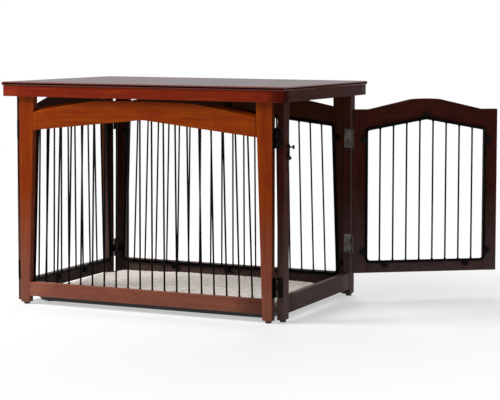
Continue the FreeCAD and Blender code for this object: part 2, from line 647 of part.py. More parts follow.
def keeper_pieces():
    """Keeper at the latch pivot's height: a plate with a hook, open upwards, that the arm drops into."""
    out = vec(1, 0, 0)
    half = KEEPER_HEIGHT / 2
    plate = slab_with_round_ends(KEEPER_WIDTH, -half, half, KEEPER_PLATE_THICK)
    screw_z = (-KEEPER_SCREW_SPREAD / 2, KEEPER_SCREW_SPREAD / 2)
    screws = [aimed(flat_screw(), out, vec(KEEPER_PLATE_THICK, 0, z)) for z in screw_z]
    holes = [aimed(flat_screw(FACE_GAP), out, vec(KEEPER_PLATE_THICK, 0, z)) for z in screw_z]
    shelf_z = -ARM_WIDTH / 2 - KEEPER_SLOT_GAP
    lip_x = LATCH_PLATE_THICK + ARM_GAP + ARM_THICK + KEEPER_SLOT_GAP
    y0 = -KEEPER_HOOK_WIDTH / 2
    shelf = Part.makeBox(lip_x + KEEPER_HOOK_THICK, KEEPER_HOOK_WIDTH, KEEPER_HOOK_THICK,
                         vec(0, y0, shelf_z - KEEPER_HOOK_THICK))
    lip = Part.makeBox(KEEPER_HOOK_THICK, KEEPER_HOOK_WIDTH, ARM_WIDTH * 0.75 + KEEPER_HOOK_THICK,
                       vec(lip_x, y0, shelf_z - KEEPER_HOOK_THICK))
    return plate.cut(Part.makeCompound(holes)).fuse(shelf).fuse(lip), screws, holes


# ---------- table top ----------
def table_top_pieces():
    slab = Part.makeBox(TOP_LENGTH, TOP_WIDTH, SLAB_THICK, vec(-TOP_LENGTH / 2, -TOP_WIDTH / 2, SLAB_UNDER))
    slab = slab.makeFillet(SLAB_EDGE_ROUND, slab.Edges)
    ax, ay = TOP_LENGTH / 2 - TOP_OVERHANG, TOP_WIDTH / 2 - TOP_OVERHANG
    parts = {"table_top_slab": slab}
    for name, length, reach, degrees in (("apron_front", ax, ay, 0), ("apron_rear", ax, ay, 180),
                                         ("apron_left", ay, ax, -90), ("apron_right", ay, ax, 90)):
        corners = [vec(-length, -reach, APRON_LOW), vec(length, -reach, APRON_LOW),
                   vec(length - APRON_THICK, APRON_THICK - reach, APRON_LOW),
                   vec(APRON_THICK - length, APRON_THICK - reach, APRON_LOW)]
        board = Part.Face(Part.makePolygon(corners + [corners[0]])).extrude(vec(0, 0, APRON_HEIGHT))
        parts[name] = turned(board, degrees)
    bx, by = ax - APRON_THICK, ay - APRON_THICK
    blocks = []
    for sx in (-1, 1):
        for sy in (-1, 1):
            corner = vec(min(sx * bx, sx * (bx - CORNER_BLOCK)), min(sy * by, sy * (by - CORNER_BLOCK)), APRON_LOW)
            blocks.append(Part.makeBox(CORNER_BLOCK, CORNER_BLOCK, APRON_HEIGHT, corner))
    parts["apron_corner_blocks"] = Part.makeCompound(blocks)
    return parts


# ---------- floor pan and mat ----------
def round_rectangle(half_x, half_y, radius, z):
    """Closed outline of four straight sides and four quarter arcs."""
    k = radius * (1 - math.sqrt(0.5))
    edges = []
    signs = ((1, 1), (-1, 1), (-1, -1), (1, -1))
    for i, (sx, sy) in enumerate(signs):
        ends = [vec(sx * half_x, sy * (half_y - radius), z), vec(sx * (half_x - radius), sy * half_y, z)]
        if sx * sy < 0:
            ends.reverse()
        middle = vec(sx * (half_x - k), sy * (half_y - k), z)
        edges.append(Part.Arc(ends[0], middle, ends[1]).toShape())
        nx, ny = signs[(i + 1) % 4]
        if sx == nx:
            follow = vec(nx * half_x, ny * (half_y - radius), z)
        else:
            follow = vec(nx * (half_x - radius), ny * half_y, z)
        edges.append(Part.LineSegment(ends[1], follow).toShape())
    return Part.Wire(edges)


def pan_outline(z, inward):
    """Outline of the pan's sloping wall at a height, moved inwards by the sheet."""
    share = (z - PAN_FOOT_HEIGHT) / PAN_DEPTH
    inset = PAN_FOOT_INSET + (PAN_RIM_INSET - PAN_FOOT_INSET) * share + inward
    radius = PAN_CORNER + PAN_FOOT_INSET - inset
    return round_rectangle(IN_X - inset, IN_Y - inset, radius, z)


def floor_pan():
    bottom, rim = PAN_FOOT_HEIGHT, PAN_FOOT_HEIGHT + PAN_DEPTH
    outside = Part.makeLoft([pan_outline(bottom, 0), pan_outline(rim, 0)], True, True)
    inside = Part.makeLoft([pan_outline(bottom + PAN_SHEET, PAN_SHEET), pan_outline(rim + 1, PAN_SHEET)], True, True)
    return outside.cut(inside)


def pan_feet():
    x, y = IN_X - PAN_FOOT_INSET - PAN_CORNER, IN_Y - PAN_FOOT_INSET - PAN_CORNER
    return Part.makeCompound([Part.makeCylinder(PAN_FOOT_RADIUS, PAN_FOOT_HEIGHT, vec(sx * x, sy * y, 0))
                              for sx in (-1, 1) for sy in (-1, 1)])


def fleece_mat():
    """Soft pad: bulging sides that draw in at both seams, then a low crown."""
    half_x = IN_X - PAN_FOOT_INSET - MAT_INSET
    half_y = IN_Y - PAN_FOOT_INSET - MAT_INSET
    base = PAN_FOOT_HEIGHT + PAN_SHEET + SEAT_GAP
    side = MAT_THICK - MAT_CROWN
    outlines = []
    for i in range(MAT_STEPS + 1):
        lean = -1 + 2 * i / MAT_STEPS
        draw = MAT_EDGE * lean * lean
        outlines.append(round_rectangle(half_x - draw, half_y - draw, MAT_CORNER, base + side * i / MAT_STEPS))
    flat = half_y - MAT_EDGE
    for i in range(1, MAT_STEPS):
        left = 1 - i / MAT_STEPS
        draw = MAT_EDGE + flat * (1 - left)
        corner = MAT_CORNER + (flat * left - MAT_CORNER) * (i / MAT_STEPS)
        outlines.append(round_rectangle(half_x - draw, half_y - draw, min(corner, 0.9 * flat * left),
                                        base + side + MAT_CROWN * (1 - left * left)))
    return Part.makeLoft(outlines, True, True)


# ---------- the whole part ----------
def glides():
    """A round glide under every post."""
    foot = POST_FOOT_WIDTH / 2
    places = []
    for sx in (-1, 1):
        for sy in (-1, 1):
            places.append((sx * (LONG_HALF - foot), sy * (IN_Y + PANEL_THICK / 2)))
            short_foot = foot if sx < 0 else SIDE_POST_WIDTH / 2
            places.append((sx * (IN_X + PANEL_THICK / 2), sy * (SHORT_HALF - short_foot)))
    made = []
    for x, y in places:
        glide = Part.makeCylinder(GLIDE_RADIUS, GLIDE_HEIGHT, vec(x, y, 0))
        made.append(glide.makeChamfer(GLIDE_CHAMFER, [e for e in glide.Edges if e.Closed and e.CenterOfMass.z < 1]))
    return Part.makeCompound(made)


def fixed_panels(holes):
    """Front, rear and left panels in place, their hinge screw holes drilled."""
    pieces, screws = {}, []
    for name, half, gaps, low_clips, degrees, x, y in (
            ("front", LONG_HALF, LONG_GAP_COUNT, 3, 0, 0, -OUT_Y),
            ("rear", LONG_HALF, LONG_GAP_COUNT, 3, 180, 0, OUT_Y),
            ("left", SHORT_HALF, SHORT_GAP_COUNT, 2, -90, -OUT_X, 0)):
        for key, shape in panel(half, gaps, low_clips).items():
            placed = turned(shape, degrees, x, y)
            if key == "screws":
                screws += placed.Solids
            elif key.startswith("post"):
                pieces[name + "_" + key] = placed.cut(holes)
            else:
                pieces[name + "_" + key] = placed
    pieces["grille_clip_screws"] = Part.makeCompound(screws)
    return pieces


def door_frame(corner_holes, hinge_holes, latch_holes):
    placed = {"right_post_front": turned(side_post(-1), 90, OUT_X).cut(corner_holes).cut(latch_holes),
              "right_post_rear": turned(side_post(1), 90, OUT_X).cut(corner_holes).cut(hinge_holes)}
    placed["right_threshold_rail"] = turned(side_rail(POST_FOOT + THRESHOLD_LIFT, THRESHOLD_TOP), 90, OUT_X)
    header_low = APRON_LOW + HEADER_HIDE
    placed["right_header_rail"] = turned(side_rail(header_low, header_low + HEADER_DEPTH), 90, OUT_X)
    return placed


def swung(shape):
    """The piece with the door turned open about its hinge line."""
    moved = shape.copy()
    moved.rotate(vec(DOOR_AXIS_X, DOOR_AXIS_Y, 0), UP, DOOR_OPEN_DEG)
    return moved


def placed_all(shapes, move):
    moved = []
    for shape in shapes:
        copy = shape.copy()
        copy.translate(move)
        moved.append(copy)
    return moved


def build():
    nodes = table_top_pieces()
    corner = corner_hinges()
    corner_holes = Part.makeCompound(corner["holes"])
    nodes.update(fixed_panels(corner_holes))

    hinge = door_hinges()
    latch = latch_pieces()
    on_post = vec(OUT_X, LATCH_Y, LATCH_PIVOT_Z)
    latch_holes = Part.makeCompound(placed_all(latch["holes"], on_post))
    nodes.update(door_frame(corner_holes, Part.makeCompound(hinge["post_holes"]), latch_holes))

    keeper, keeper_screws, keeper_holes = keeper_pieces()
    on_door = vec(OUT_X, DOOR_FREE_EDGE + KEEPER_EDGE + KEEPER_WIDTH / 2, LATCH_PIVOT_Z)
    cuts = {"door_stile_hinge": Part.makeCompound(hinge["door_holes"]),
            "door_stile_free": Part.makeCompound(placed_all(keeper_holes, on_door))}
    for name, shape in door_pieces().items():
        closed = turned(shape, 90, OUT_X, DOOR_MIDDLE)
        nodes[name] = swung(closed.cut(cuts[name]) if name in cuts else closed)
    nodes["latch_keeper"] = swung(placed_all([keeper], on_door)[0])
    nodes["latch_keeper_screws"] = swung(Part.makeCompound(placed_all(keeper_screws, on_door)))

    nodes["corner_hinge_leaves_long"] = Part.makeCompound(corner["long"])
    nodes["corner_hinge_leaves_short"] = Part.makeCompound(corner["short"])
    nodes["corner_hinge_pins"] = Part.makeCompound(corner["pins"])
    nodes["corner_hinge_screws"] = Part.makeCompound(corner["screws"])
    nodes["door_hinge_post_leaves"] = Part.makeCompound(hinge["post_leaf"])
    nodes["door_hinge_pins"] = Part.makeCompound(hinge["pins"])
    nodes["door_hinge_post_screws"] = Part.makeCompound(hinge["post_screws"])
    nodes["door_hinge_door_leaves"] = swung(Part.makeCompound(hinge["door_leaf"]))
    nodes["door_hinge_door_screws"] = swung(Part.makeCompound(hinge["door_screws"]))

    for key in ("plate", "pivot", "arm", "knob"):
        nodes["latch_" + key] = placed_all([latch[key]], on_post)[0]
    nodes["latch_plate_screws"] = Part.makeCompound(placed_all(latch["screws"], on_post))

    nodes["foot_glides"] = glides()
    nodes["floor_pan"] = floor_pan()
    nodes["pan_feet"] = pan_feet()
    nodes["fleece_mat"] = fleece_mat()
    return nodes


def main():
    nodes = build()
    whole = Part.makeCompound(list(nodes.values())).optimalBoundingBox(True, False)
    to_origin = vec(-whole.Center.x, -whole.Center.y, 0)
    print("table middle in the shared frame: %.3f %.3f" % (to_origin.x, to_origin.y))
    os.makedirs("parts", exist_ok=True)
    for name, shape in nodes.items():
        placed = shape.copy()
        placed.translate(to_origin)
        if not placed.isValid():
            print("not valid:", name)
        placed.exportStep("parts/" + name + ".step")
    print(len(nodes), "nodes")


main()
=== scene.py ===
"""Pet crate end table: boards, wire, fittings, pan and mat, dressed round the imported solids.

Laid out as a Blender add-on and run as a script. Lengths are metres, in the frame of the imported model:
X along the table's long side, the front panel towards -Y, Z up from the floor.
"""

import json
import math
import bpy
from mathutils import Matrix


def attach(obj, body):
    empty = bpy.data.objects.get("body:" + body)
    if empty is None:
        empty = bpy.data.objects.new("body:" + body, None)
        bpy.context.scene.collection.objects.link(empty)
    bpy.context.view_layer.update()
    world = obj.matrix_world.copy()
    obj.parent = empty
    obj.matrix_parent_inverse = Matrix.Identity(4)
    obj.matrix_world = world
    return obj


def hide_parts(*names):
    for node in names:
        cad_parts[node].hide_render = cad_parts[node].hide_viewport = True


bl_info = {
    "name": "Pet Crate End Table",
    "version": (1, 0, 0),
    "blender": (4, 5, 0),
    "location": "View3D > Sidebar > Crate Table",
    "description": "Builds the boards, wire grilles, fittings, pan and fleece mat of a pet crate end table",
    "category": "Object",
}

import zlib

import bmesh
import bpy
import numpy as np
from mathutils import Matrix, Vector

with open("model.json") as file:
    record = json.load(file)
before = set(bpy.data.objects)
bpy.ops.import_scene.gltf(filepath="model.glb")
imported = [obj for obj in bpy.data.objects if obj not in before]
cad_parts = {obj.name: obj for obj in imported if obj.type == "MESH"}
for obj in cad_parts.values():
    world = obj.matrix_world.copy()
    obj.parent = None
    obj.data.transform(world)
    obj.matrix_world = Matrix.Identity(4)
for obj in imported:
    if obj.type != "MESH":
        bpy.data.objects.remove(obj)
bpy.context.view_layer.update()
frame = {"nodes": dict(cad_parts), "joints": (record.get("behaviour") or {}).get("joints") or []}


# ---------------------------------------------------------------- places read from the solids
def mesh_points(made):
    """Corner points of an object's mesh, one row each."""
    flat = np.empty(len(made.data.vertices) * 3, np.float32)
    made.data.vertices.foreach_get("co", flat)
    return flat.reshape(-1, 3).astype(float)


def node_points(node):
    return mesh_points(frame["nodes"][node])


def extent(node):
    """Lowest and highest corner of a CAD node."""
    points = node_points(node)
    return points.min(0), points.max(0)


SLAB_LOW, SLAB_HIGH = extent("table_top_slab")
MIDDLE = (SLAB_LOW + SLAB_HIGH) / 2 * (1, 1, 0)
OUT_X = extent("right_post_front")[1][0] - MIDDLE[0]
OUT_Y = MIDDLE[1] - extent("front_post_left")[0][1]
JOINTS = {j["name"]: j for j in frame["joints"]}
DOOR_AXIS = np.array(JOINTS["door_swing"]["pos_m"]) * (1, 1, 0)
DOOR_OPEN = -JOINTS["door_swing"]["range_deg"][0]
LATCH_AXIS = np.array(JOINTS["latch_turn"]["pos_m"])
SIDES = {"front": (0, (0, -OUT_Y, 0)), "rear": (180, (0, OUT_Y, 0)),
         "left": (-90, (-OUT_X, 0, 0)), "right": (90, (OUT_X, 0, 0))}


def turned(points, degrees):
    """Points turned about the upright axis: x' = x cos a - y sin a, y' = x sin a + y cos a."""
    c, s = math.cos(math.radians(degrees)), math.sin(math.radians(degrees))
    return points @ np.array([[c, s, 0], [-s, c, 0], [0, 0, 1]])


def to_side(points, side):
    """From a panel's own frame (x across, y from the outer face inwards, z up) to the shared frame."""
    degrees, shift = SIDES["right" if side == "door" else side]
    placed = turned(points, degrees) + shift + MIDDLE
    if side == "door":
        placed = turned(placed - DOOR_AXIS, DOOR_OPEN) + DOOR_AXIS
    return placed


def from_side(points, side):
    """The inverse of to_side."""
    if side == "door":
        points = turned(points - DOOR_AXIS, -DOOR_OPEN) + DOOR_AXIS
    degrees, shift = SIDES["right" if side == "door" else side]
    return turned(points - MIDDLE - shift, -degrees)


def outline(node, side):
    """A node's lowest and highest corner in its panel's own frame, and its middle across."""
    points = from_side(node_points(node), side)
    low, high = points.min(0), points.max(0)
    return low, high, (low[0] + high[0]) / 2


# ---------------------------------------------------------------- settings
def linear(code, alpha=1.0):
    """sRGB hex to linear: c / 12.92 below 0.04045, else ((c + 0.055) / 1.055) ** 2.4."""
    c = np.array([int(code[i:i + 2], 16) / 255 for i in (1, 3, 5)])
    c = np.where(c <= 0.04045, c / 12.92, ((c + 0.055) / 1.055) ** 2.4)
    return (*map(float, c), alpha)


def number_prop(label, note, value, **more):
    return bpy.props.FloatProperty(name=label, description=note, default=value, **more)


def length_prop(label, note, value):
    return number_prop(label, note, value, unit="LENGTH", min=0.0)


def colour_prop(label, note, code):
    return bpy.props.FloatVectorProperty(name=label, description=note, default=linear(code), size=4,
                                         subtype="COLOR", min=0.0, max=1.0)


class CrateSizes(bpy.types.PropertyGroup):
    """Sizes that finish the boards, wire and mat."""

    arris: length_prop("Arris", "Radius sanded on the boards' long edges", 0.0013)
    rail_arris: length_prop("Rail arris", "Radius sanded on the arched rails' edges", 0.0020)
    slab_edge: length_prop("Slab edge", "Radius of the table top's bullnose", 0.0042)
    foot_width: length_prop("Post foot", "Width of a tapered post at its foot", 0.026)
    arch_depth: length_prop("Arch end depth", "Depth of an arched rail where it meets the post", 0.046)
    arch_bevel: length_prop("Arch bevel", "Rise of an arch's shoulders from outer face to inner", 0.0105)
    arch_bow: length_prop("Arch bow", "Height of the arched rails' curved crown", 0.003)
    vee_rise: length_prop("Peak rise", "Rise of an arched rail's lower edge", 0.034)
    vee_round: length_prop("Peak radius", "Radius at the peak of the lower edge", 0.090)
    door_depth: length_prop("Door arch depth", "Depth of the door's arched rail at the stiles", 0.054)
    door_bow: length_prop("Door arch bow", "Height of the door's curved crown", 0.0015)
    door_flat: length_prop("Door arch flat", "Level part of the door's arch beside each stile", 0.007)
    door_vee: length_prop("Door peak rise", "Rise of the lower edge of the door's arch", 0.030)
    rod_radius: length_prop("Rod radius", "Radius of the grilles' outer rod", 0.00375)
    # the solids' wires are 4 mm thick; these are 0.8 mm thicker, because the real ones look heavier
    wire_radius: length_prop("Wire radius", "Radius of the grilles' upright wires", 0.0024)
    head_show: length_prop("Rod beside post", "How far the rod's centre stands clear of the posts", 0.001)
    low_bend: length_prop("Low bend", "Bend radius of a grille's lower corners", 0.012)
    high_bend: length_prop("High bend", "Bend radius of a grille's upper corners", 0.008)
    peak_bend: length_prop("Peak bend", "Bend radius of a grille's peak", 0.024)
    pan_corner: length_prop("Pan corner", "Corner radius of the pan's floor", 0.025)
    pan_sheet: length_prop("Pan sheet", "Thickness of the pan's plastic", 0.002)
    tuft: length_prop("Fleece tuft", "Width of one tuft of the mat's fleece", 0.011)
    pile: length_prop("Fleece pile", "How far the fleece stands up between tufts", 0.0034)


class CrateColours(bpy.types.PropertyGroup):
    """Colours of the finishes."""

    stain_warm: colour_prop("Stain, light streaks", "Warm streaks of the mahogany stain", "#883906")
    stain_deep: colour_prop("Stain, dark streaks", "Deep streaks of the mahogany stain", "#661F04")
    stain_red: colour_prop("Stain, red clouds", "Redder clouds where the stain took deeper", "#742409")
    apron_warm: colour_prop("Apron, light streaks", "Warm streaks of the redder apron", "#802B0D")
    apron_deep: colour_prop("Apron, dark streaks", "Deep streaks of the redder apron", "#5A170A")
    apron_red: colour_prop("Apron, red clouds", "Red clouds on the apron", "#6E170F")
    # the top's colours: its stain drawn darker, as painted shade
    top_painted_shade_warm: colour_prop("Top, light streaks", "Light streaks of the table top", "#46292B")
    top_painted_shade_deep: colour_prop("Top, dark streaks", "Deep streaks of the table top", "#301C1F")
    # the boards' stain drawn darker as painted shade, for the right end, its door and the glue blocks
    painted_shade_warm: colour_prop("Dark stain, light", "Light streaks of the dark boards", "#4A1E15")
    painted_shade_deep: colour_prop("Dark stain, deep", "Deep streaks of the dark boards", "#29100C")
    wire: colour_prop("Wire", "Powder coat on the grilles", "#040405")
    clip: colour_prop("Clips", "Moulded clips and feet", "#0D0C0D")
    bronze: colour_prop("Bronze", "Worn high spots of the bronzed fittings", "#5E5036")
    bronze_dark: colour_prop("Bronze, dark", "Dark patina of the bronzed fittings", "#16130F")
    steel: colour_prop("Steel", "Door hinges", "#6E6B65")
    fleece: colour_prop("Fleece", "Tips of the mat's fleece", "#DED5CA")
    # between the tufts: painted shade in the hollows of the pile
    fleece_hollow_shade: colour_prop("Fleece, roots", "Between the tufts", "#948A80")


class CrateStage(bpy.types.PropertyGroup):
    """Camera and lamps."""

    camera_at: bpy.props.FloatVectorProperty(name="Camera", description="From the table's middle to the camera",
                                             default=(1.9818, -3.8182, 0.7230), subtype="TRANSLATION")
    yaw: number_prop("Yaw", "Turn of the camera to the left", 0.39756, subtype="ANGLE")
    pitch: number_prop("Pitch", "Downward tilt", 0.075469, subtype="ANGLE")
    roll: number_prop("Roll", "Roll of the camera", 0.0046792, subtype="ANGLE")
    focal: number_prop("Focal length", "In pixels of a 500 pixel frame", 1618.7)
    key_power: number_prop("Key", "Power of the front left lamp", 190.0, unit="POWER")
    rear_power: number_prop("Rear", "Power of the lamp behind", 130.0, unit="POWER")
    room_light: number_prop("Room", "Strength of the even light all round", 0.27)


def sizes():
    return bpy.context.scene.crate_sizes


def colours():
    return bpy.context.scene.crate_colours


# ---------------------------------------------------------------- surfaces
MERGE = 1e-6    # points nearer than this are one
LIP = 0.001     # strip of an edge beside the outer face that keeps the outer face's stain


def quads(rows, columns, wrap=True, closed=False):
    """Four-cornered faces of a grid of rows by columns, joined round along the columns with wrap and along
    the rows with closed."""
    i, j = np.meshgrid(np.arange(rows if closed else rows - 1), np.arange(columns if wrap else columns - 1),
                       indexing="ij")
    n, k = (i + 1) % rows, (j + 1) % columns
    return np.stack([i * columns + j, i * columns + k, n * columns + k, n * columns + j], -1).reshape(-1, 4)


def signed_volume(points, faces):
    """Sum of p0 . (p1 x p2) / 6 over the fan of triangles of every face."""
    first = points[faces[:, 0]]
    return sum(np.einsum("ij,ij->", first, np.cross(points[faces[:, k]], points[faces[:, k + 1]]))
               for k in (1, 2)) / 6


def solid_of(grids):
    """Points and faces of closed shapes: each grid is (rows, ring, 3), capped flat at both ends.
    Rings that run clockwise are turned round, so that every face points outwards."""
    points, faces, base = [], [], 0
    for grid in grids:
        rows, ring = grid.shape[:2]
        flat = grid.reshape(-1, 3)
        face = quads(rows, ring)
        first, last = np.arange(ring)[::-1], (rows - 1) * ring + np.arange(ring)
        if signed_volume(flat - flat.mean(0), face) < 0:
            face, first, last = face[:, ::-1], first[::-1], last[::-1]
        points.append(flat)
        faces += (face + base).tolist() + [(first + base).tolist(), (last + base).tolist()]
        base += len(flat)
    return np.concatenate(points), faces


def piece(name, points, faces, finish, body, node, slot, **marks):
    """A mesh object at the origin that rides on a body and stands for a CAD node. marks are its attributes,
    one number or one vector for each point."""
    mesh = bpy.data.meshes.new(name)
    mesh.from_pydata(points.tolist(), [], faces)
    for key, values in marks.items():
        kind, field = ("FLOAT_VECTOR", "vector") if values.ndim > 1 else ("FLOAT", "value")
        mesh.attributes.new(key, kind, "POINT").data.foreach_set(
            field, np.ascontiguousarray(values, np.float32).ravel())
    merge = bmesh.new()
    merge.from_mesh(mesh)
    bmesh.ops.remove_doubles(merge, verts=merge.verts, dist=MERGE)
    merge.to_mesh(mesh)
    merge.free()
    mesh.validate()
    mesh.polygons.foreach_set("use_smooth", [len(p.vertices) < 5 for p in mesh.polygons])
    mesh.materials.append(FINISHES[finish])
    made = bpy.data.objects.new(name, mesh)
    bpy.context.scene.collection.objects.link(made)
    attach(made, body)
    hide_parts(node)
    return made


def rounded_ring(radius, support, steps=3):
    """Outline of a rounded rectangle as signs and insets from its sides. Along each corner the insets are
    r (1 - cos a) and r (1 - sin a), with one more point on each flat so that the flat shades flat. The last
    array is sin 2a, how far the surface has turned away from both flats."""
    angle = np.linspace(0, math.pi / 2, steps + 1)
    near = np.concatenate([[0], radius * (1 - np.cos(angle)), [radius + support]])
    far = near[::-1]
    turn = np.concatenate([[0], np.sin(2 * angle), [0]])
    signs = np.repeat([[1, 1], [-1, 1], [-1, -1], [1, -1]], steps + 3, axis=0)
    across, through = np.tile(np.concatenate([near, far]), 2), np.tile(np.concatenate([far, near]), 2)
    return signs[:, 0], signs[:, 1], across, through, np.tile(turn, 4)


def board(u, low, high, back, front, radius, half_at=None, rounded=True, steps=3):
    """A board as a grid: stations along u, and a rounded rectangle round each.
    v runs between low(u) and high(u) and w between back and front. Where high(u) is a pair, v's upper limit
    goes evenly from the first at the back to the second at the front, which is a bevel. Rounded ends follow
    the same radius: at angle a the ring draws in by r (1 - cos a) while u runs out by r sin a. With half_at,
    u is a share of the half length that the ring's own v and w allow, which gives mitred and slanted ends.
    The fourth value of a point is 1 on an arris and 0 on the flats."""
    support = radius * 0.6
    sv, sw, av, aw, arris = rounded_ring(radius, support, steps)
    keep, extra, ends = np.ones(len(u)), np.zeros(len(u)), np.zeros(len(u))
    if rounded:
        angle = np.linspace(0, math.pi / 2, steps + 1)
        out = radius * np.sin(angle)
        inner = u[(u > u[0] + radius + support) & (u < u[-1] - radius - support)]
        start = np.concatenate([[u[0]], u[0] + radius - out[::-1], [u[0] + radius + support]])
        end = u[0] + u[-1] - start[::-1]
        keep = np.concatenate([[0], np.cos(angle)[::-1], [1], np.ones(len(inner)), [1], np.cos(angle), [0]])
        extra = np.zeros(len(keep))
        extra[[0, -1]] = support
        ends = np.where((keep > 0.01) & (keep < 0.99), 1.0, 0.0)
        u = np.concatenate([start, inner, end])
    inset = lambda a: radius - (radius - a) * keep[:, None] + extra[:, None]
    w = np.where(sw > 0, front, back) - sw * inset(aw)
    tops = high(u)
    outer, inner = tops if isinstance(tops, tuple) else (tops, tops)
    hi = outer[:, None] + (inner - outer)[:, None] * (w - back) / (front - back)
    v = np.where(sv > 0, hi, low(u)[:, None]) - sv * inset(av)
    along = np.broadcast_to(u[:, None], v.shape)
    if half_at is not None:
        along = along * half_at(v, w)
    return np.stack([along, v, w, np.maximum(np.broadcast_to(arris, v.shape), ends[:, None])], -1)


def wood_piece(node, grids, order, side, finish, body="frame", slot="stained_wood", lined=0.0, end=0.0):
    """Boards of one piece. order says which of u, v, w is local x, y and z. The grain runs along u. The last
    two arguments are painted shade, kept in the shade attribute: how much darker the face that looks inwards is
    drawn, with the edges beside it, and the edge at v's upper limit."""
    name = node + "_wood"
    seed = np.random.default_rng(zlib.crc32(name.encode()))
    local, faces = solid_of([g[..., order] for g in grids])
    grain = np.concatenate([g[..., :3].reshape(-1, 3) + seed.uniform(0, 9, 3) for g in grids])
    arris = np.concatenate([g[..., 3].ravel() for g in grids])
    # painted shade: the inward face with its edges, and the edge at v's upper limit
    shade = np.concatenate([np.maximum(lined * (g[..., 2] > g[..., 2].min() + LIP),
                                       end * (g[..., 1] > g[..., 1].max() - MERGE)).ravel() for g in grids])
    points = to_side(local, side) if side else local
    piece(name, points, faces, finish, body, node, slot, grain=grain, tone=np.full(len(points), seed.uniform()),
          arris=arris, shade=shade)


# ---------------------------------------------------------------- boards
SHOULDER, DOOR_SHOULDER = 0.47, 0.245    # where the arches' crowns end, as shares of the half width
GLUE_BLOCK = 0.020                       # side of the square blocks in the apron's corners


def level(value):
    """The same value at every station."""
    return lambda u: value + 0 * u


def post_board(node, side, finish, foot=None, **more):
    """An upright board. With a foot width its inner edge slopes evenly from the foot to the head."""
    low, high, middle = outline(node, side)
    wide = high[0] - low[0]
    foot = foot or wide
    slope = lambda u: foot + (wide - foot) * (u - low[2]) / (high[2] - low[2])
    if middle < 0:
        start, stop = level(low[0]), (lambda u: low[0] + slope(u))
    else:
        start, stop = (lambda u: high[0] - slope(u)), level(high[0])
    grid = board(np.linspace(low[2], high[2], 12), start, stop, low[1], high[1], sizes().arris)
    wood_piece(node, [grid], [1, 2, 0], side, finish, **more)


def post_gap(side):
    """Half the clear width between a panel's tapered posts, as a function of height."""
    low, high, _ = outline(side + "_post_left", side)
    wide, foot = high[0] - low[0], sizes().foot_width
    return lambda z: -low[0] - foot - (wide - foot) * (z - low[2]) / (high[2] - low[2])


def straight_rail(node, side, finish, half=None, **more):
    """A level rail whose ends meet the posts."""
    low, high, middle = outline(node, side)
    half = half or level((high[0] - low[0]) / 2)
    grid = board(np.linspace(-1, 1, 9), level(low[2]), level(high[2]), low[1], high[1], sizes().arris,
                 half_at=lambda v, w: half(v), rounded=False)
    grid[..., 0] += middle
    wood_piece(node, [grid], [0, 2, 1], side, finish, **more)


def peak(x, half, base, rise, radius):
    """Lower edge of an arch: two straight slopes, z = base + rise (1 - |x| / half), whose peak is replaced
    by an arc tangent to both."""
    slope = math.atan2(rise, half)
    reach = radius * math.sin(slope)
    side = base + rise * (1 - np.abs(x) / half)
    crown = base + rise * (1 - reach / half) + radius * (np.sqrt(1 - np.minimum(np.abs(x) / radius, 1) ** 2)
                                                         - math.cos(slope))
    return np.where(np.abs(x) < reach, crown, side)


def sawn_back(x, half, end, crown):
    """Upper edge of a panel's arch, as a pair for the outer and inner face. A low bow,
    z = crown - bow (x / shoulder)^2, runs from end to end, and beyond the shoulder a tilted plane cuts it
    off: it falls evenly to the end of the outer face and lies one bevel higher on the inner face."""
    s = sizes()
    shoulder = SHOULDER * half
    bow = crown - s.arch_bow * (x / shoulder) ** 2
    plane = crown - s.arch_bow + (end - crown + s.arch_bow) * (np.abs(x) - shoulder) / (half - shoulder)
    return np.minimum(bow, plane), np.minimum(bow, plane + s.arch_bevel)


def door_back(x, half, end, crown):
    """Upper edge of the door's arch: level for a short flat, a straight slope to the shoulder, then a low
    bow, z = crown - bow (x / shoulder)^2."""
    s = sizes()
    shoulder, away = DOOR_SHOULDER * half, np.abs(x)
    slope = end + (crown - s.door_bow - end) * (half - s.door_flat - away) / (half - s.door_flat - shoulder)
    return np.where(away < shoulder, crown - s.door_bow * (away / shoulder) ** 2, np.maximum(slope, end))


def arched_rail(node, side, finish, half, depth, rise, back, **more):
    """A rail with a peak below, between posts whose clear half width at height z is half(z)."""
    low, high, middle = outline(node, side)
    end, radius = low[2] + depth, sizes().vee_round
    top_half, low_half = float(half(end)), float(half(low[2]))
    reach = radius * math.sin(math.atan2(rise, low_half)) / low_half
    # extra stations where an outline turns: at both kinds of shoulder, the door's flats and the peak's arc
    knots = np.array([DOOR_SHOULDER, DOOR_SHOULDER + 0.005, SHOULDER, SHOULDER + 0.005, 0.7, 0.95, 0.9545,
                      reach, reach * 1.02])
    u = np.unique(np.round(np.concatenate([np.linspace(-1, 1, 121), knots, -knots]), 5))
    grid = board(u, lambda u: peak(u * low_half, low_half, low[2], rise, radius),
                 lambda u: back(u * top_half, top_half, end, high[2]), low[1], high[1], sizes().rail_arris,
                 half_at=lambda v, w: half(v), rounded=False)
    grid[..., 0] += middle
    wood_piece(node, [grid], [0, 2, 1], side, finish, **more)


def fixed_panel(side, end=0.0, **more):
    """Tapered posts, low rail and arched rail of a panel that stays put."""
    s, half = sizes(), post_gap(side)
    # end is painted shade on the right post's outer edge
    for hand, deeper in (("left", 0.0), ("right", end)):
        post_board(side + "_post_" + hand, side, "stain", s.foot_width, end=deeper, **more)
    straight_rail(side + "_bottom_rail", side, "stain", half, **more)
    arched_rail(side + "_top_rail", side, "stain", half, s.arch_depth, s.vee_rise, sawn_back, **more)


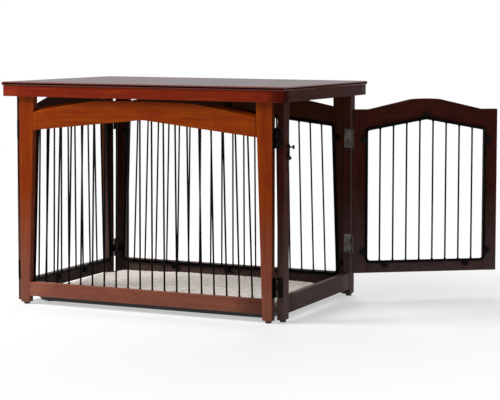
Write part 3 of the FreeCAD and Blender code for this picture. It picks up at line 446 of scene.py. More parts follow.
# ---------------------------------------------------------------- wire
def bent_loop(corners, radii, steps=7):
    """Closed line of straight runs joined by tangent arcs. An arc of radius r in a corner whose half angle
    is h starts r / tan h from the corner, and its centre lies r / sin h from it."""
    lines = []
    for i, (corner, r) in enumerate(zip(corners, radii)):
        back = corners[i - 1] - corner
        ahead = corners[(i + 1) % len(corners)] - corner
        back, ahead = back / np.linalg.norm(back), ahead / np.linalg.norm(ahead)
        half = math.acos(float(back @ ahead)) / 2
        middle = (back + ahead) / np.linalg.norm(back + ahead)
        centre = corner + middle * r / math.sin(half)
        turn = (math.pi / 2 - half) * np.linspace(-1, 1, steps)[:, None]
        across = np.array([middle[1], -middle[0]])
        if across @ ahead < 0:
            across = -across
        lines.append(centre - middle * r * np.cos(turn) + across * r * np.sin(turn))
    return np.concatenate(lines)


def tube(path, radius, sides=12, closed=False):
    """A tube round a flat line in the XZ plane: ring(a) = p + r (cos a n + sin a y), where n is the line's
    normal in that plane."""
    ahead = np.roll(path, -1, 0) - path if closed else np.gradient(path, axis=0)
    if closed:
        ahead = ahead / np.linalg.norm(ahead, axis=1, keepdims=True)
        ahead = ahead + np.roll(ahead, 1, 0)
    ahead = ahead / np.linalg.norm(ahead, axis=1, keepdims=True)
    normal = np.stack([-ahead[:, 1], ahead[:, 0]], -1)
    a = np.linspace(0, 2 * math.pi, sides, endpoint=False)
    radius = np.broadcast_to(radius, len(path))[:, None]
    grid = np.empty((len(path), sides, 3))
    grid[..., 0] = path[:, :1] + radius * np.cos(a) * normal[:, :1]
    grid[..., 2] = path[:, 1:] + radius * np.cos(a) * normal[:, 1:]
    grid[..., 1] = radius * np.sin(a)
    return grid


def ring_mesh(grid):
    """Faces of a closed tube: the grid joined round both ways, facing outwards."""
    face, flat = quads(*grid.shape[:2], closed=True), grid.reshape(-1, 3)
    if signed_volume(flat - flat.mean(0), face) < 0:
        face = face[:, ::-1]
    return flat, face.tolist()


def wire_grille(side, gaps, rise, head=None, body="frame"):
    """Outer rod bent to the panel's opening, head wide (half) at its shoulders, and wires with a bead of weld
    where they meet it. The wires fan out downwards: at height z a wire keeps its share t of the half width,
    x = t (w0 - taper (z - z0)), and it ends where that line meets the peaked run, sunk into the rod. A bead
    at distance d from the wire's end adds tall exp(-((d - wide) / wide)^2) to its radius."""
    s, node = sizes(), side + "_grille"
    low, high, middle = outline(node, side)
    r = s.rod_radius
    half = (high[0] - low[0]) / 2 - r
    bottom = low[2] + r
    head = half if head is None else float(head(high[2] - r - rise)) - s.head_show
    top = high[2] - r + s.peak_bend * (1 / math.cos(math.atan2(rise, head)) - 1)
    shoulder = top - rise
    corners = np.array([(-half, bottom), (half, bottom), (head, shoulder), (0, top), (-head, shoulder)])
    bends = [s.low_bend, s.low_bend, s.high_bend, s.peak_bend, s.high_bend]
    rod, rod_faces = ring_mesh(tube(bent_loop(corners, bends), r, 14, closed=True))
    taper = (half - head) / (shoulder - bottom)
    tall, wide, sunk = 0.0011, 0.0022, r * 0.4
    away = np.array([0, 1.5, 3, 5, 8, 14]) * 1e-3
    wires = []
    for share in np.linspace(-1, 1, gaps + 1)[1:-1]:
        fall = rise / head * abs(share)
        end = (top - fall * (half + taper * bottom)) / (1 - fall * taper) - sunk
        start = bottom + sunk
        z = np.concatenate([start + away, end - away[::-1]])
        bead = tall * np.exp(-((np.minimum(z - start, end - z) - wide) / wide) ** 2)
        wires.append(tube(np.stack([share * (half - taper * (z - bottom)), z], -1), s.wire_radius + bead, 8))
    points, faces = solid_of(wires)
    faces = rod_faces + [[i + len(rod) for i in f] for f in faces]
    points = np.concatenate([rod, points]) + (middle, (low[1] + high[1]) / 2, 0)
    piece(node + "_wire", to_side(points, side), faces, "wire", body, node, "black_wire")


# ---------------------------------------------------------------- materials
def add(tree, kind, inputs=None, **settings):
    """Adds a node. settings are its properties; inputs are values, or (node, output) pairs to link."""
    made = tree.nodes.new(kind)
    for key, value in settings.items():
        setattr(made, key, value)
    for key, value in (inputs or {}).items():
        if isinstance(value, tuple) and isinstance(value[0], bpy.types.Node):
            tree.links.new(value[0].outputs[value[1]], made.inputs[key])
        else:
            made.inputs[key].default_value = value
    return made


def new_material(name):
    made = bpy.data.materials.new(name)
    made.use_nodes = True
    made.node_tree.nodes.clear()
    return made, made.node_tree


def finish_material(tree, shader_inputs, height, strength, distance):
    """Principled shader and output, with a bump from a height output."""
    relief = add(tree, "ShaderNodeBump", {"Height": height, "Strength": strength, "Distance": distance})
    shader = add(tree, "ShaderNodeBsdfPrincipled", {**shader_inputs, "Normal": (relief, 0)})
    add(tree, "ShaderNodeOutputMaterial", {"Surface": (shader, 0)})


def stained_wood(name, light, deep, cloud, roughness=0.42, shine=0.05, worn=None, floor_reflection_gain=1.0):
    """Mahogany stain on plantation hardwood under satin lacquer: soft streaks along the grain, clouds where the
    stain took deeper, short dark pores, painted shade where the shade attribute says so, paler sanded arrises
    that are partly thinner stain and partly painted highlight, and a pale veil that thickens towards the floor,
    which is painted reflection of the pale floor."""
    made, tree = new_material(name)
    grain, tone, arris, shade = (add(tree, "ShaderNodeAttribute", attribute_name=key)
                                 for key in ("grain", "tone", "arris", "shade"))
    place = add(tree, "ShaderNodeTexCoord")
    noises = []
    for scale, detail, rough, bend in (
            ((9, 240, 240), 5.0, 0.65, 0.3),     # streaks about 4 mm wide and 110 mm long
            ((3.5, 50, 50), 3.0, 0.55, 1.4),     # growth rings: bands 20 mm wide that wander along the board
            ((16, 30, 30), 4.0, 0.6, 0.0),       # clouds 60 mm long and 30 mm wide
            ((40, 820, 820), 2.0, 0.7, 0.0)):    # pores 0.2 mm wide, drawn 1.2 mm wide so that they show
        at = add(tree, "ShaderNodeMapping", {"Vector": (grain, 1), "Scale": scale})
        noises.append(add(tree, "ShaderNodeTexNoise", {"Vector": (at, 0), "Scale": 1.0, "Detail": detail,
                                                       "Roughness": rough, "Distortion": bend}))
    streak, band, clouds, pores = noises
    height = add(tree, "ShaderNodeSeparateXYZ", {0: (place, 3)})
    figure = add(tree, "ShaderNodeMath", {0: (streak, 0), 1: 0.55, 2: (band, 0)}, operation="MULTIPLY_ADD")
    figure, red, pore, low, rough = (
        add(tree, "ShaderNodeMapRange", {"Value": value, "From Min": a, "From Max": b, "To Min": c,
                                         "To Max": d})
        for value, a, b, c, d in (((figure, 0), 0.50, 1.05, 0.0, 1.0), ((clouds, 0), 0.45, 0.70, 0.0, 0.8),
                                  ((pores, 0), 0.55, 0.68, 0.0, 0.28),
                                  # mask of the painted floor reflection: none from 0.30 m up, most at the floor
                                  ((height, 2), 0.30, 0.02, 0.0, 0.55 * floor_reflection_gain),
                                  ((streak, 0), 0.3, 0.7, roughness - 0.06, roughness + 0.08)))
    toned = add(tree, "ShaderNodeMath", {0: (tone, 2), 1: 0.25, 2: (figure, 0)}, operation="MULTIPLY_ADD",
                use_clamp=True)
    # arrises: paler in patches, partly thinner stain on the sanded edges and partly painted highlight
    worn_highlit_arris = add(tree, "ShaderNodeMath", {0: (arris, 2), 1: (clouds, 0)}, operation="MULTIPLY")
    worn_highlit_arris = add(tree, "ShaderNodeMath", {0: (worn_highlit_arris, 0), 1: 0.75}, operation="MULTIPLY")
    # painted reflection of the pale floor: none at 0.30 m, about two fifths at the floor, broken up by patches
    # 8 mm across
    patch = add(tree, "ShaderNodeTexNoise", {"Vector": (place, 3), "Scale": 120.0, "Detail": 4.0})
    floor_reflection = add(tree, "ShaderNodeMath", {0: (low, 0), 1: (patch, 0)}, operation="MULTIPLY")
    floor_reflection = add(tree, "ShaderNodeMath", {0: (low, 0), 1: 0.22, 2: (floor_reflection, 0)}, operation="MULTIPLY_ADD")
    dark = tuple(c * 0.4 for c in deep[:3]) + (1.0,)
    pale = worn or tuple(min(1.0, c * 1.9 + 0.012) for c in light[:3]) + (1.0,)
    # each layer goes over the ones before it: how much of it, its colour, and how it is laid
    colour = deep
    # the shade attribute's blue-grey multiply is painted shade, the pale arris layer is thinner stain and
    # painted highlight, and the last pale layer is painted reflection of the floor
    for factor, over, blend in (((toned, 0), light, "MIX"), ((red, 0), cloud, "MIX"), ((pore, 0), dark, "MIX"),
                                ((shade, 2), (0.2, 0.32, 1.2, 1.0), "MULTIPLY"), ((worn_highlit_arris, 0), pale, "MIX"),
                                ((floor_reflection, 0), linear("#695D59"), "MIX")):
        colour = add(tree, "ShaderNodeMix", {"Factor": factor, 6: colour, 7: over}, data_type="RGBA",
                     blend_type=blend), 2
    finish_material(tree, {"Base Color": colour, "Roughness": (rough, 0), "IOR": 1.5,
                           "Specular IOR Level": shine}, (pores, 0), 0.12, 0.0006)
    return made


def speckled(name, light, dark, spot, roughness, metallic=0.0, bump=0.2, depth=0.0004, spread=(0.4, 0.65),
             shine=0.5):
    """A base with specks of a second colour: spot is the specks' size in metres, spread how much they cover."""
    made, tree = new_material(name)
    at = add(tree, "ShaderNodeTexCoord")
    noise = add(tree, "ShaderNodeTexNoise", {"Vector": (at, 3), "Scale": 1 / spot, "Detail": 3.0})
    mask = add(tree, "ShaderNodeMapRange", {"Value": (noise, 0), "From Min": spread[0], "From Max": spread[1]})
    base = add(tree, "ShaderNodeMix", {"Factor": (mask, 0), 6: dark, 7: light}, data_type="RGBA")
    rough = add(tree, "ShaderNodeMapRange", {"Value": (noise, 0), "From Min": 0.3, "From Max": 0.7,
                                             "To Min": roughness + 0.06, "To Max": roughness - 0.06})
    finish_material(tree, {"Base Color": (base, 2), "Roughness": (rough, 0), "Metallic": metallic,
                           "Specular IOR Level": shine}, (noise, 0), bump, depth)
    return made


def fleece_material(name, tip, hollow_shade):
    """Polyester fleece: matt curls, pale at the tips and greyer in between, which is painted shade in the
    hollows of the pile, with a soft bloom at the edge.
    """
    made, tree = new_material(name)
    at = add(tree, "ShaderNodeTexCoord")
    pile = add(tree, "ShaderNodeAttribute", attribute_name="pile")
    # curls of the pile, 2.4 mm across
    curl = add(tree, "ShaderNodeTexNoise", {"Vector": (at, 3), "Scale": 420.0, "Detail": 4.0, "Roughness": 0.7})
    depth = add(tree, "ShaderNodeMath", {0: (curl, 0), 1: 0.5, 2: (pile, 2)}, operation="MULTIPLY_ADD")
    # lower points of the pile take the grey of the painted hollow shade
    mask = add(tree, "ShaderNodeMapRange", {"Value": (depth, 0), "From Min": 0.45, "From Max": 1.05})
    base = add(tree, "ShaderNodeMix", {"Factor": (mask, 0), 6: hollow_shade, 7: tip}, data_type="RGBA")
    finish_material(tree, {"Base Color": (base, 2), "Roughness": 0.95, "Sheen Weight": 0.35,
                           "Sheen Roughness": 0.5, "Specular IOR Level": 0.2}, (curl, 0), 0.6, 0.002)
    return made


FINISHES = {}    # a finish's short name and its material


def make_finishes():
    """Fills FINISHES. The comments say what each finish gives the eye."""
    c = colours()
    FINISHES.update(
        # the front's boards: warm brown, streaked, with a low gloss
        stain=stained_wood("mahogany_stained_hardwood_satin", c.stain_warm, c.stain_deep, c.stain_red),
        # the apron: redder and a little darker than the front's boards
        apron=stained_wood("red_mahogany_stained_apron_satin", c.apron_warm, c.apron_deep, c.apron_red),
        # the top: the boards' stain drawn dark and greyed as painted shade, glossier, and paler red along its
        # edge, which is thinner stain and painted highlight
        top=stained_wood("mahogany_top_satin_painted_shade", c.top_painted_shade_warm, c.top_painted_shade_deep, c.top_painted_shade_deep, 0.36, 0.2,
                         linear("#A0452B")),
        # the right end: the boards' stain drawn deep and dull as painted shade, with more painted floor
        # reflection at the foot
        dark=stained_wood("mahogany_satin_painted_shade", c.painted_shade_warm, c.painted_shade_deep, c.painted_shade_deep, 0.5,
                          0.04, floor_reflection_gain=1.35),
        # powder coat: near black, a faint orange peel, hardly any gloss
        wire=speckled("black_powder_coat_on_steel_wire", c.wire, linear("#030303"), 0.0012, 0.38, shine=0.04),
        # polypropylene: dull black with broad soft lights
        clip=speckled("moulded_black_polypropylene", c.clip, linear("#030303"), 0.0015, 0.5, shine=0.1),
        # black oxide: a dark metal's dull glint
        screw=speckled("black_oxide_screws", linear("#161514"), linear("#0A0909"), 0.002, 0.36, 1.0),
        # rubbed bronze plate: brown black hollows, olive gold high spots
        bronze=speckled("antique_bronze_plate", c.bronze, c.bronze_dark, 0.006, 0.32, 1.0, spread=(0.5, 0.8)),
        # bronzed sheet steel: dark brown with a low metal sheen
        hinge=speckled("dark_bronzed_steel_leaf", linear("#2A221D"), linear("#0E0B0A"), 0.005, 0.42, 1.0),
        # satin nickel: grey, smooth, with wide glints
        steel=speckled("satin_nickel_plated_steel", c.steel, linear("#4A4845"), 0.02, 0.4, 1.0, bump=0.05),
        # haircell sheet: charcoal, its gloss broken by a fine pebble grain
        pan=speckled("black_abs_tray_haircell", linear("#17171A"), linear("#0B0B0C"), 0.0012, 0.5,
                     depth=0.0006),
        # rubber: matt, a little paler than the pan
        rubber=speckled("black_rubber_feet", linear("#1B1B1C"), linear("#101011"), 0.002, 0.75),
        # nylon: dull dark brown
        glide=speckled("brown_nylon_glides", linear("#2A1E19"), linear("#171110"), 0.002, 0.5),
        fleece=fleece_material("polyester_fleece_pile", c.fleece, c.fleece_hollow_shade))


def dress(nodes, finish):
    """Gives carried-over CAD nodes a finish."""
    for node in nodes:
        mesh = frame["nodes"][node].data
        mesh.materials.clear()
        mesh.materials.append(FINISHES[finish])


# ---------------------------------------------------------------- operators
class CRATE_OT_table_top(bpy.types.Operator):
    """Slab with a bullnose edge, four mitred apron boards and the glue blocks behind them"""
    bl_idname = "crate.table_top"
    bl_label = "Table top"

    def execute(self, context):
        s = sizes()
        low, high = SLAB_LOW, SLAB_HIGH
        grid = board(np.linspace(low[0], high[0], 24), level(low[1]), level(high[1]), low[2], high[2],
                     s.slab_edge, steps=5)
        wood_piece("table_top_slab", [grid], [0, 1, 2], None, "top", "table_top", "top_wood")
        low, high = extent("apron_front")
        half, deep, thick = (high[0] - low[0]) / 2, MIDDLE[1] - low[1], high[1] - low[1]
        side_half = np.ptp(node_points("apron_left")[:, 1]) / 2
        # the right apron's finish, dark, is painted shade
        for side, length, back, finish in (("front", half, OUT_Y - deep, "apron"),
                                           ("rear", half, OUT_Y - deep, "apron"),
                                           ("left", side_half, OUT_X - half, "apron"),
                                           ("right", side_half, OUT_X - half, "dark")):
            grid = board(np.linspace(-1, 1, 17), level(low[2]), level(high[2]), back, back + thick, s.arris,
                         half_at=lambda v, w: length - (w - back), rounded=False)
            # painted shade on the aprons' inward faces
            wood_piece("apron_" + side, [grid], [0, 2, 1], side, finish, "table_top", lined=1.0)
        low, high = extent("apron_corner_blocks")
        grid = board(np.linspace(low[2], high[2], 4), level(0), level(GLUE_BLOCK), 0, GLUE_BLOCK, s.arris * 0.5)
        grids = [grid + (0, x, y, 0) for x in (low[0], high[0] - GLUE_BLOCK)
                 for y in (low[1], high[1] - GLUE_BLOCK)]
        # the glue blocks' finish, dark, is painted shade
        wood_piece("apron_corner_blocks", grids, [1, 2, 0], None, "dark", "table_top")
        return {"FINISHED"}


class CRATE_OT_long_panels(bpy.types.Operator):
    """Posts, arched rail and low rail of the front and rear panels"""
    bl_idname = "crate.long_panels"
    bl_label = "Long panels"

    def execute(self, context):
        # painted shade on the front's right post's outer edge and on the rear panel's inward faces
        fixed_panel("front", end=0.75)
        fixed_panel("rear", lined=1.0)
        return {"FINISHED"}


class CRATE_OT_end_panel(bpy.types.Operator):
    """Posts, arched rail and low rail of the left end"""
    bl_idname = "crate.end_panel"
    bl_label = "End panel"

    def execute(self, context):
        # painted shade on the left panel's inward faces
        fixed_panel("left", lined=1.0)
        return {"FINISHED"}


class CRATE_OT_door_frame(bpy.types.Operator):
    """Straight posts, threshold and header round the door"""
    bl_idname = "crate.door_frame"
    bl_label = "Door frame"

    def execute(self, context):
        # the door frame's finish, dark, is painted shade
        for node in ("right_post_front", "right_post_rear"):
            post_board(node, "right", "dark")
        for node in ("right_threshold_rail", "right_header_rail"):
            straight_rail(node, "right", "dark")
        return {"FINISHED"}


class CRATE_OT_door(bpy.types.Operator):
    """Stiles, arched rail and low rail of the door"""
    bl_idname = "crate.door"
    bl_label = "Door"

    def execute(self, context):
        s = sizes()
        # the door's finish, dark, is painted shade
        for node in ("door_stile_free", "door_stile_hinge"):
            post_board(node, "door", "dark", body="door")
        straight_rail("door_bottom_rail", "door", "dark", body="door")
        low, high, _ = outline("door_top_rail", "door")
        arched_rail("door_top_rail", "door", "dark", level((high[0] - low[0]) / 2), s.door_depth, s.door_vee,
                    door_back, body="door")
        return {"FINISHED"}


class CRATE_OT_grilles(bpy.types.Operator):
    """Welded wire grilles of the three panels and the door"""
    bl_idname = "crate.grilles"
    bl_label = "Grilles"

    def execute(self, context):
        s = sizes()
        for side, gaps in (("front", 19), ("rear", 19), ("left", 11)):
            wire_grille(side, gaps, s.vee_rise, post_gap(side))
        wire_grille("door", 9, s.door_vee, body="door")
        return {"FINISHED"}


class CRATE_OT_fittings(bpy.types.Operator):
    """Finishes of the clips, screws, hinges and glides, and of the latch's pivot, screws and keeper"""
    bl_idname = "crate.fittings"
    bl_label = "Fittings"

    def execute(self, context):
        dress([n for n in frame["nodes"] if n.endswith("_clips")], "clip")
        dress(["grille_clip_screws", "door_clip_screws"], "screw")
        dress([n for n in frame["nodes"] if n.startswith("corner_hinge")], "hinge")
        dress([n for n in frame["nodes"] if n.startswith("door_hinge")], "steel")
        dress(["latch_plate_screws", "latch_pivot", "latch_keeper", "latch_keeper_screws"], "bronze")
        dress(["foot_glides"], "glide")
        return {"FINISHED"}


def cast_strap(low, high, half_width, back, thick):
    """An upright cast strap from z = low to high, its stations crowding towards both ends as the sine does. Its
    section is a flat back and a front that rounds off towards both edges: y = w sin a and
    x = back + thick (1 - |sin a|^5)^(1/3), with w from half_width(z)."""
    z = (low + high) / 2 + (high - low) / 2 * np.sin(np.linspace(-math.pi / 2, math.pi / 2, 61))
    a = np.linspace(-math.pi / 2, math.pi / 2, 15)
    w = half_width(z)[:, None]
    front = np.stack(np.broadcast_arrays(back + thick * np.cbrt(1 - np.abs(np.sin(a)) ** 5), w * np.sin(a),
                                         z[:, None]), -1)
    rear = np.stack(np.broadcast_arrays(back, w * np.linspace(0.9, -0.9, 5), z[:, None]), -1)
    return np.concatenate([front, rear], 1)


def turned_knob(profile, height, sides=24):
    """A profile of (distance out, radius) in millimetres, carried round the line at that height: y = r cos a,
    z = h + r sin a. The profile is smoothed by a cosine ease between its points."""
    t = np.linspace(0, len(profile) - 1.001, 45)
    i, f, profile = t.astype(int), ((1 - np.cos(math.pi * (t % 1))) / 2)[:, None], np.array(profile)
    out, r = (profile[i] * (1 - f) + profile[i + 1] * f).T[..., None] * 1e-3
    a = np.linspace(0, 2 * math.pi, sides, endpoint=False)
    return np.stack([out + 0 * a, r * np.cos(a), height + r * np.sin(a)], -1)


class CRATE_OT_latch(bpy.types.Operator):
    """Cast turn latch: a lobed plate, an arm with an eye and a waist, and a turned knob"""
    bl_idname = "crate.latch"
    bl_label = "Latch"

    def execute(self, context):
        origin = np.array([MIDDLE[0] + OUT_X, LATCH_AXIS[1], LATCH_AXIS[2]])
        foot, head = (extent("latch_plate") - origin)[:, 2]
        low, high = extent("latch_arm") - origin
        eye, knob_at = -low[2], sum(extent("latch_knob"))[2] / 2 - origin[2]
        thick, lobe = 0.0019, 0.035

        def plate_half(z):
            """Lobes, w = 4.9 + 1.1 cos(2 pi z / lobe) mm, closed by rounded ends."""
            end = np.sqrt(np.clip(1 - np.abs((2 * z - foot - head) / (head - foot)) ** 8, 0.0004, 1))
            return (0.0049 + 0.0011 * np.cos(2 * math.pi * z / lobe)) * end

        def arm_half(z):
            """A round eye, a waist, and a swelling that carries the knob and ends in a half circle."""
            circle = np.sqrt(np.clip(eye ** 2 - z ** 2, 1e-10, None))
            strap = 0.0024 + 0.0016 * np.exp(-((z - knob_at) / 0.006) ** 2)
            tip = np.sqrt(np.clip(1 - ((z - knob_at) / (high[2] - knob_at)) ** 2, 0.0004, 1))
            return np.maximum(circle, np.where(z < 0, 0, strap) * np.where(z > knob_at, tip, 1))

        # collar on the arm, thin stem, and a cap like a mushroom's: distance from the post, and radius
        profile = [(4.4, 2.2), (5.2, 2.4), (6.2, 2.3), (7.4, 1.8), (10.6, 1.7), (12.7, 2.7), (13.3, 4.6),
                   (14.3, 5.4), (15.7, 5.1), (16.9, 4.0), (17.6, 2.3), (17.9, 0.4)]
        for node, made, body, grid in (
                ("latch_plate", "cast", "frame", cast_strap(foot, head, plate_half, 0.0, thick)),
                ("latch_arm", "cast", "latch", cast_strap(low[2], high[2], arm_half, low[0], high[0] - low[0])),
                ("latch_knob", "turned", "latch", turned_knob(profile, knob_at))):
            points, faces = solid_of([grid])
            piece(node + "_" + made, points + origin, faces, "bronze", body, node, "antique_latch")
        return {"FINISHED"}


def round_rectangle(half_x, half_y, radius, steps=7):
    """Outline in plan: four quarter arcs joined by straight sides, shape (points, 2)."""
    a = np.linspace(0, math.pi / 2, steps)
    arcs = [np.stack([np.cos(a + k * math.pi / 2), np.sin(a + k * math.pi / 2)], -1) * radius for k in range(4)]
    corner = np.array([(1, 1), (-1, 1), (-1, -1), (1, -1)]) * (half_x - radius, half_y - radius)
    return np.concatenate([arc + at for arc, at in zip(arcs, corner)])


class CRATE_OT_floor_pan(bpy.types.Operator):
    """Moulded pan with sloping walls, a rolled rim and round feet"""
    bl_idname = "crate.floor_pan"
    bl_label = "Floor pan"

    def execute(self, context):
        s = sizes()
        low, high = extent("floor_pan")
        half_x, half_y = (high[:2] - low[:2]) / 2
        slope, t, tall = 0.011, s.pan_sheet, high[2] - low[2]
        # profile from the middle of the underside, up the outer wall, over the rim and down to the floor:
        # how far it draws in from the rim's outline, and its height
        a = np.linspace(0, math.pi, 7)
        inset = np.concatenate([[0.18, 0.05, slope + 0.003, slope + 0.0008],
                                t / 2 - t / 2 * np.cos(a), [slope + t + 0.001, slope + t + 0.004, 0.05, 0.18]])
        z = np.concatenate([[0, 0, 0, 0.0012], tall - t / 2 + t / 2 * np.sin(a), [t + 0.0015, t, t, t]])
        grid = np.empty((len(inset), 28, 3))
        for row, (draw, height) in enumerate(zip(inset, z)):
            corner = max(s.pan_corner + slope - draw, 0.006)
            grid[row, :, :2] = round_rectangle(half_x - draw, half_y - draw, corner)
            grid[row, :, 2] = height + low[2]
        points, faces = solid_of([grid + MIDDLE])
        piece("floor_pan_moulding", points, faces, "pan", "pan", "floor_pan", "pan_plastic")
        dress(["pan_feet"], "rubber")
        return {"FINISHED"}


# each row times a lattice cell's index gives a sine, whose far digits are one of the cell's three jitters
JITTER = np.array([(127.1, 311.7, 74.7), (269.5, 183.3, 246.1), (113.5, 271.9, 124.6)])


def tufts(points, size):
    """Height of a tufted pile from 0 to 1 at each point: rounded cells, 1 - d^2 from the nearest of a
    jittered lattice of centres."""
    cell = np.floor(points / size).astype(int)
    best = np.full(len(points), 9.0)
    for step in np.ndindex(3, 3, 3):
        c = cell + step - 1
        h = np.stack([np.sin(c @ row) * 43758.5453 for row in JITTER], -1)
        centre = (c + (h - np.floor(h))) * size
        best = np.minimum(best, ((points - centre) ** 2).sum(1) / size ** 2)
    return np.clip(1 - best, 0, 1)


# the mat's folds: x of the fold's line, its lean, the y where it starts and stops, its height and its width
FOLDS = ((0.306, 0.12, -0.02, 0.21, 0.0200, 0.020), (0.250, -0.12, -0.07, 0.15, 0.0080, 0.015),
         (0.268, 0.25, -0.21, -0.09, 0.0050, 0.016), (-0.240, -0.20, -0.16, 0.10, 0.0060, 0.018),
         (0.020, 0.35, -0.20, -0.06, 0.0045, 0.020))


def rumple(x, y):
    """Height of the folds that lying on it has left in the mat: one standing fold near the doorway, lower
    ones elsewhere, h exp(-(d / w)^2) with d the distance from a wandering line, and slow waves."""
    total = 0.0016 * np.sin(x * 21 + 3 * np.sin(y * 9)) * np.sin(y * 17 + 2 * np.sin(x * 7) + 1)
    for at, lean, start, stop, tall, wide in FOLDS:
        away = x - at - lean * (y - start) + 0.006 * np.sin(y * 26)
        share = np.clip((y - start) / (stop - start), 0, 1)
        total = total + tall * np.exp(-(away / wide) ** 2) * np.sin(math.pi * share) ** 0.8
    return total


def mat_block(half_x, half_y, base, thick):
    """Closed pad on a grid over a square: s and t from -1 to 1 map to a rounded rectangle whose sides draw
    in between the corners, and the top and bottom sheets meet in a rounded edge at the seam's height."""
    n, m = 84, 54
    s, t = np.meshgrid(np.linspace(-1, 1, n), np.linspace(-1, 1, m), indexing="ij")
    x = half_x * s * np.sqrt(1 - 0.10 * t ** 2) * (1 - 0.022 * (1 - t ** 4))
    y = half_y * t * np.sqrt(1 - 0.10 * s ** 2) * (1 - 0.030 * (1 - s ** 4))
    edge = np.minimum((1 - np.abs(s)) * half_x, (1 - np.abs(t)) * half_y) / (thick * 0.6)
    swell = np.sqrt(np.clip(1 - (1 - np.clip(edge, 0, 1)) ** 2, 0, 1))
    crown = 0.004 * (1 - s ** 2) * (1 - t ** 2)
    seam = thick * 0.42
    top = base + seam + (thick * 0.52) * swell + crown + rumple(x, y) * swell
    bottom = base + seam * (1 - swell)
    sheets = [np.stack([x, y, z], -1).reshape(-1, 3) for z in (top, bottom)]
    face = quads(n, m, wrap=False)
    return np.concatenate(sheets), np.concatenate([face, face[:, ::-1] + n * m]).tolist()


class CRATE_OT_fleece_mat(bpy.types.Operator):
    """Soft fleece pad, puffed and rumpled by a short cloth simulation, with a tufted pile"""
    bl_idname = "crate.fleece_mat"
    bl_label = "Fleece mat"

    def execute(self, context):
        s = sizes()
        low, high = extent("fleece_mat")
        half_x, half_y = (high[:2] - low[:2]) / 2
        room = 0.004    # left at the sides for the cloth run and the pile to take up
        points, faces = mat_block(half_x - room, half_y - room, low[2] + 0.0005, high[2] - low[2] - 0.006)
        mat = piece("fleece_mat_pad", points + MIDDLE, faces, "fleece", "mat", "fleece_mat", "fleece")
        puff(mat, voxel=0.0065, cap=0.010, floor=low[2] + 0.0003)
        pile_up(mat, s.tuft, s.pile, low[2])
        return {"FINISHED"}


def apply_modifiers(made):
    """The object's evaluated mesh takes the place of its mesh, and its modifiers go."""
    evaluated = made.evaluated_get(bpy.context.evaluated_depsgraph_get())
    mesh = bpy.data.meshes.new_from_object(evaluated)
    made.modifiers.clear()
    old, made.data = made.data, mesh
    bpy.data.meshes.remove(old)


def set_points(made, points):
    made.data.vertices.foreach_set("co", points.astype(np.float32).ravel())


def puff(made, voxel, cap, floor):
    """Even remesh, then a short cloth run with pressure and a little spare cloth, so that the pad swells and
    wrinkles. A point moves by cap at most and stays above the floor."""
    remesh = made.modifiers.new("Remesh", "REMESH")
    remesh.mode, remesh.voxel_size = "VOXEL", voxel
    apply_modifiers(made)
    before = after = mesh_points(made)
    cloth = made.modifiers.new("Cloth", "CLOTH").settings
    cloth.use_pressure, cloth.uniform_pressure_force = True, 3.0
    cloth.shrink_min, cloth.quality = -0.055, 4
    cloth.effector_weights.gravity = 0.0
    scene = bpy.context.scene
    for step in range(1, 19):
        scene.frame_set(step)
    apply_modifiers(made)
    scene.frame_set(1)
    move = mesh_points(made) - before
    far = np.linalg.norm(move, axis=1, keepdims=True)
    after = before + move * np.minimum(1, cap / np.maximum(far, 1e-9))
    after[:, 2] = np.maximum(after[:, 2], floor)
    set_points(made, after)


def pile_up(made, tuft, pile, floor):
    """Subdivides once and lifts the surface along its normals by the pile, in large tufts and small ones."""
    sub = made.modifiers.new("Smooth", "SUBSURF")
    sub.levels = sub.render_levels = 1
    apply_modifiers(made)
    made.data.polygons.foreach_set("use_smooth", [True] * len(made.data.polygons))
    at = mesh_points(made)
    normals = np.empty(at.size, np.float32)
    made.data.vertices.foreach_get("normal", normals)
    height = tufts(at, tuft) * 0.65 + tufts(at + 0.37, tuft * 0.45) * 0.35
    lifted = at + normals.reshape(-1, 3) * (height * pile)[:, None]
    lifted[:, 2] = np.maximum(lifted[:, 2], floor)
    set_points(made, lifted)
    made.data.attributes.new("pile", "FLOAT", "POINT").data.foreach_set("value", height.astype(np.float32))
    made.data.update()


def seen_rays(tree):
    """1 for camera, glossy and transmission rays, which see a white background, and 0 for all others."""
    path = add(tree, "ShaderNodeLightPath")
    seen = add(tree, "ShaderNodeMath", {0: (path, "Is Camera Ray"), 1: (path, "Is Glossy Ray")},
               operation="MAXIMUM")
    return add(tree, "ShaderNodeMath", {0: (seen, 0), 1: (path, "Is Transmission Ray")}, operation="MAXIMUM")


def pale_floor(reach=60.0, drop=-0.0002):
    """Matt floor that glows to white for the rays that see it, half as strongly within 0.55 m of the table's
    middle, where it keeps the table's shadow, as beyond 1.5 m."""
    floor = bpy.data.meshes.new("studio_floor")
    floor.from_pydata([(x * reach, y * reach, drop) for x, y in ((-1, -1), (1, -1), (1, 1), (-1, 1))], [],
                      [(0, 1, 2, 3)])
    made, tree = new_material("pale_studio_floor")
    at = add(tree, "ShaderNodeTexCoord")
    away = add(tree, "ShaderNodeVectorMath", {0: (at, 3), 1: tuple(MIDDLE)}, operation="DISTANCE")
    glow = add(tree, "ShaderNodeMapRange", {"Value": (away, 1), "From Min": 0.55, "From Max": 1.5,
                                            "To Min": 0.5}, interpolation_type="SMOOTHSTEP")
    part = add(tree, "ShaderNodeMath", {0: (seen_rays(tree), 0), 1: (glow, 0)}, operation="MULTIPLY")
    matt = add(tree, "ShaderNodeBsdfDiffuse", {"Color": linear("#F4F4F4")})
    glow = add(tree, "ShaderNodeEmission", {"Color": (1, 1, 1, 1), "Strength": 1.0})
    mixed = add(tree, "ShaderNodeMixShader", {0: (part, 0), 1: (matt, 0), 2: (glow, 0)})
    add(tree, "ShaderNodeOutputMaterial", {"Surface": (mixed, 0)})
    floor.materials.append(made)
    return bpy.data.objects.new("studio_floor", floor)


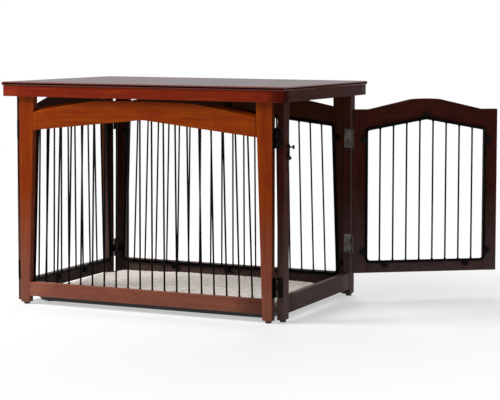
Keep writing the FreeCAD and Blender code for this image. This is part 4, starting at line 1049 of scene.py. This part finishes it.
class CRATE_OT_stage(bpy.types.Operator):
    """Pale floor and backdrop, soft lamps and the camera"""
    bl_idname = "crate.stage"
    bl_label = "Stage"

    def execute(self, context):
        scene = bpy.context.scene
        st = scene.crate_stage
        scene.view_settings.view_transform = "Standard"
        ground = pale_floor()
        scene.collection.objects.link(ground)
        scene.world = bpy.data.worlds.new("studio_room")
        scene.world.use_nodes = True
        tree = scene.world.node_tree
        tree.nodes.clear()
        strength = add(tree, "ShaderNodeMix", {0: (seen_rays(tree), 0), 2: st.room_light, 3: 1.0})
        back = add(tree, "ShaderNodeBackground", {"Color": (1, 1, 1, 1), "Strength": (strength, 0)})
        add(tree, "ShaderNodeOutputWorld", {"Surface": (back, 0)})
        # soft lamps, placed from and aimed at a point inside the table, 0.30 m above the floor
        centre = Vector((MIDDLE[0], MIDDLE[1], 0.30))
        for name, towards, size, power in (("key_softbox", (-2.72, -1.84, 2.30), 1.4, st.key_power),
                                           ("rear_softbox", (-0.8, 3.4, 2.0), 2.0, st.rear_power)):
            lamp = bpy.data.lights.new(name, "AREA")
            lamp.energy, lamp.shape, lamp.size = power, "SQUARE", size
            holder = bpy.data.objects.new(name, lamp)
            holder.location = centre + Vector(towards)
            holder.rotation_euler = (-Vector(towards)).to_track_quat("-Z", "Y").to_euler()
            holder.visible_glossy = False
            scene.collection.objects.link(holder)
        camera = bpy.data.cameras.new("photo_camera")
        camera.sensor_width = 36.0
        camera.lens = st.focal / 500 * camera.sensor_width
        camera.shift_x, camera.shift_y = -0.14, -0.10
        camera.clip_start, camera.clip_end = 0.05, 200.0
        holder = bpy.data.objects.new("photo_camera", camera)
        ahead = Vector((-math.sin(st.yaw) * math.cos(st.pitch), math.cos(st.yaw) * math.cos(st.pitch),
                        -math.sin(st.pitch)))
        right = Vector((math.cos(st.yaw), math.sin(st.yaw), 0))
        up = right.cross(ahead)
        across = right * math.cos(st.roll) + up * math.sin(st.roll)
        upward = up * math.cos(st.roll) - right * math.sin(st.roll)
        turn = Matrix((across, upward, -ahead)).transposed().to_4x4()
        holder.matrix_world = Matrix.Translation(Vector(MIDDLE) + Vector(st.camera_at)) @ turn
        scene.collection.objects.link(holder)
        scene.camera = holder
        return {"FINISHED"}


OPERATORS = (CRATE_OT_table_top, CRATE_OT_long_panels, CRATE_OT_end_panel, CRATE_OT_door_frame, CRATE_OT_door,
             CRATE_OT_grilles, CRATE_OT_fittings, CRATE_OT_latch, CRATE_OT_floor_pan, CRATE_OT_fleece_mat,
             CRATE_OT_stage)


class CRATE_PT_panel(bpy.types.Panel):
    """Lists the pieces"""
    bl_idname = "CRATE_PT_panel"
    bl_label = "Crate Table"
    bl_space_type = "VIEW_3D"
    bl_region_type = "UI"
    bl_category = "Crate Table"

    def draw(self, context):
        for group in (context.scene.crate_sizes, context.scene.crate_colours, context.scene.crate_stage):
            box = self.layout.box()
            for key in group.bl_rna.properties.keys():
                if key not in ("rna_type", "name"):
                    box.prop(group, key)
        for operator in OPERATORS:
            self.layout.operator(operator.bl_idname)


CLASSES = (CrateSizes, CrateColours, CrateStage, *OPERATORS, CRATE_PT_panel)


def register():
    for cls in CLASSES:
        bpy.utils.register_class(cls)
    bpy.types.Scene.crate_sizes = bpy.props.PointerProperty(type=CrateSizes)
    bpy.types.Scene.crate_colours = bpy.props.PointerProperty(type=CrateColours)
    bpy.types.Scene.crate_stage = bpy.props.PointerProperty(type=CrateStage)


def unregister():
    for name in ("crate_sizes", "crate_colours", "crate_stage"):
        delattr(bpy.types.Scene, name)
    for cls in reversed(CLASSES):
        bpy.utils.unregister_class(cls)


def main():
    register()
    make_finishes()
    for operator in OPERATORS:
        group, name = operator.bl_idname.split(".")
        getattr(getattr(bpy.ops, group), name)()


if __name__ == "__main__":
    main()
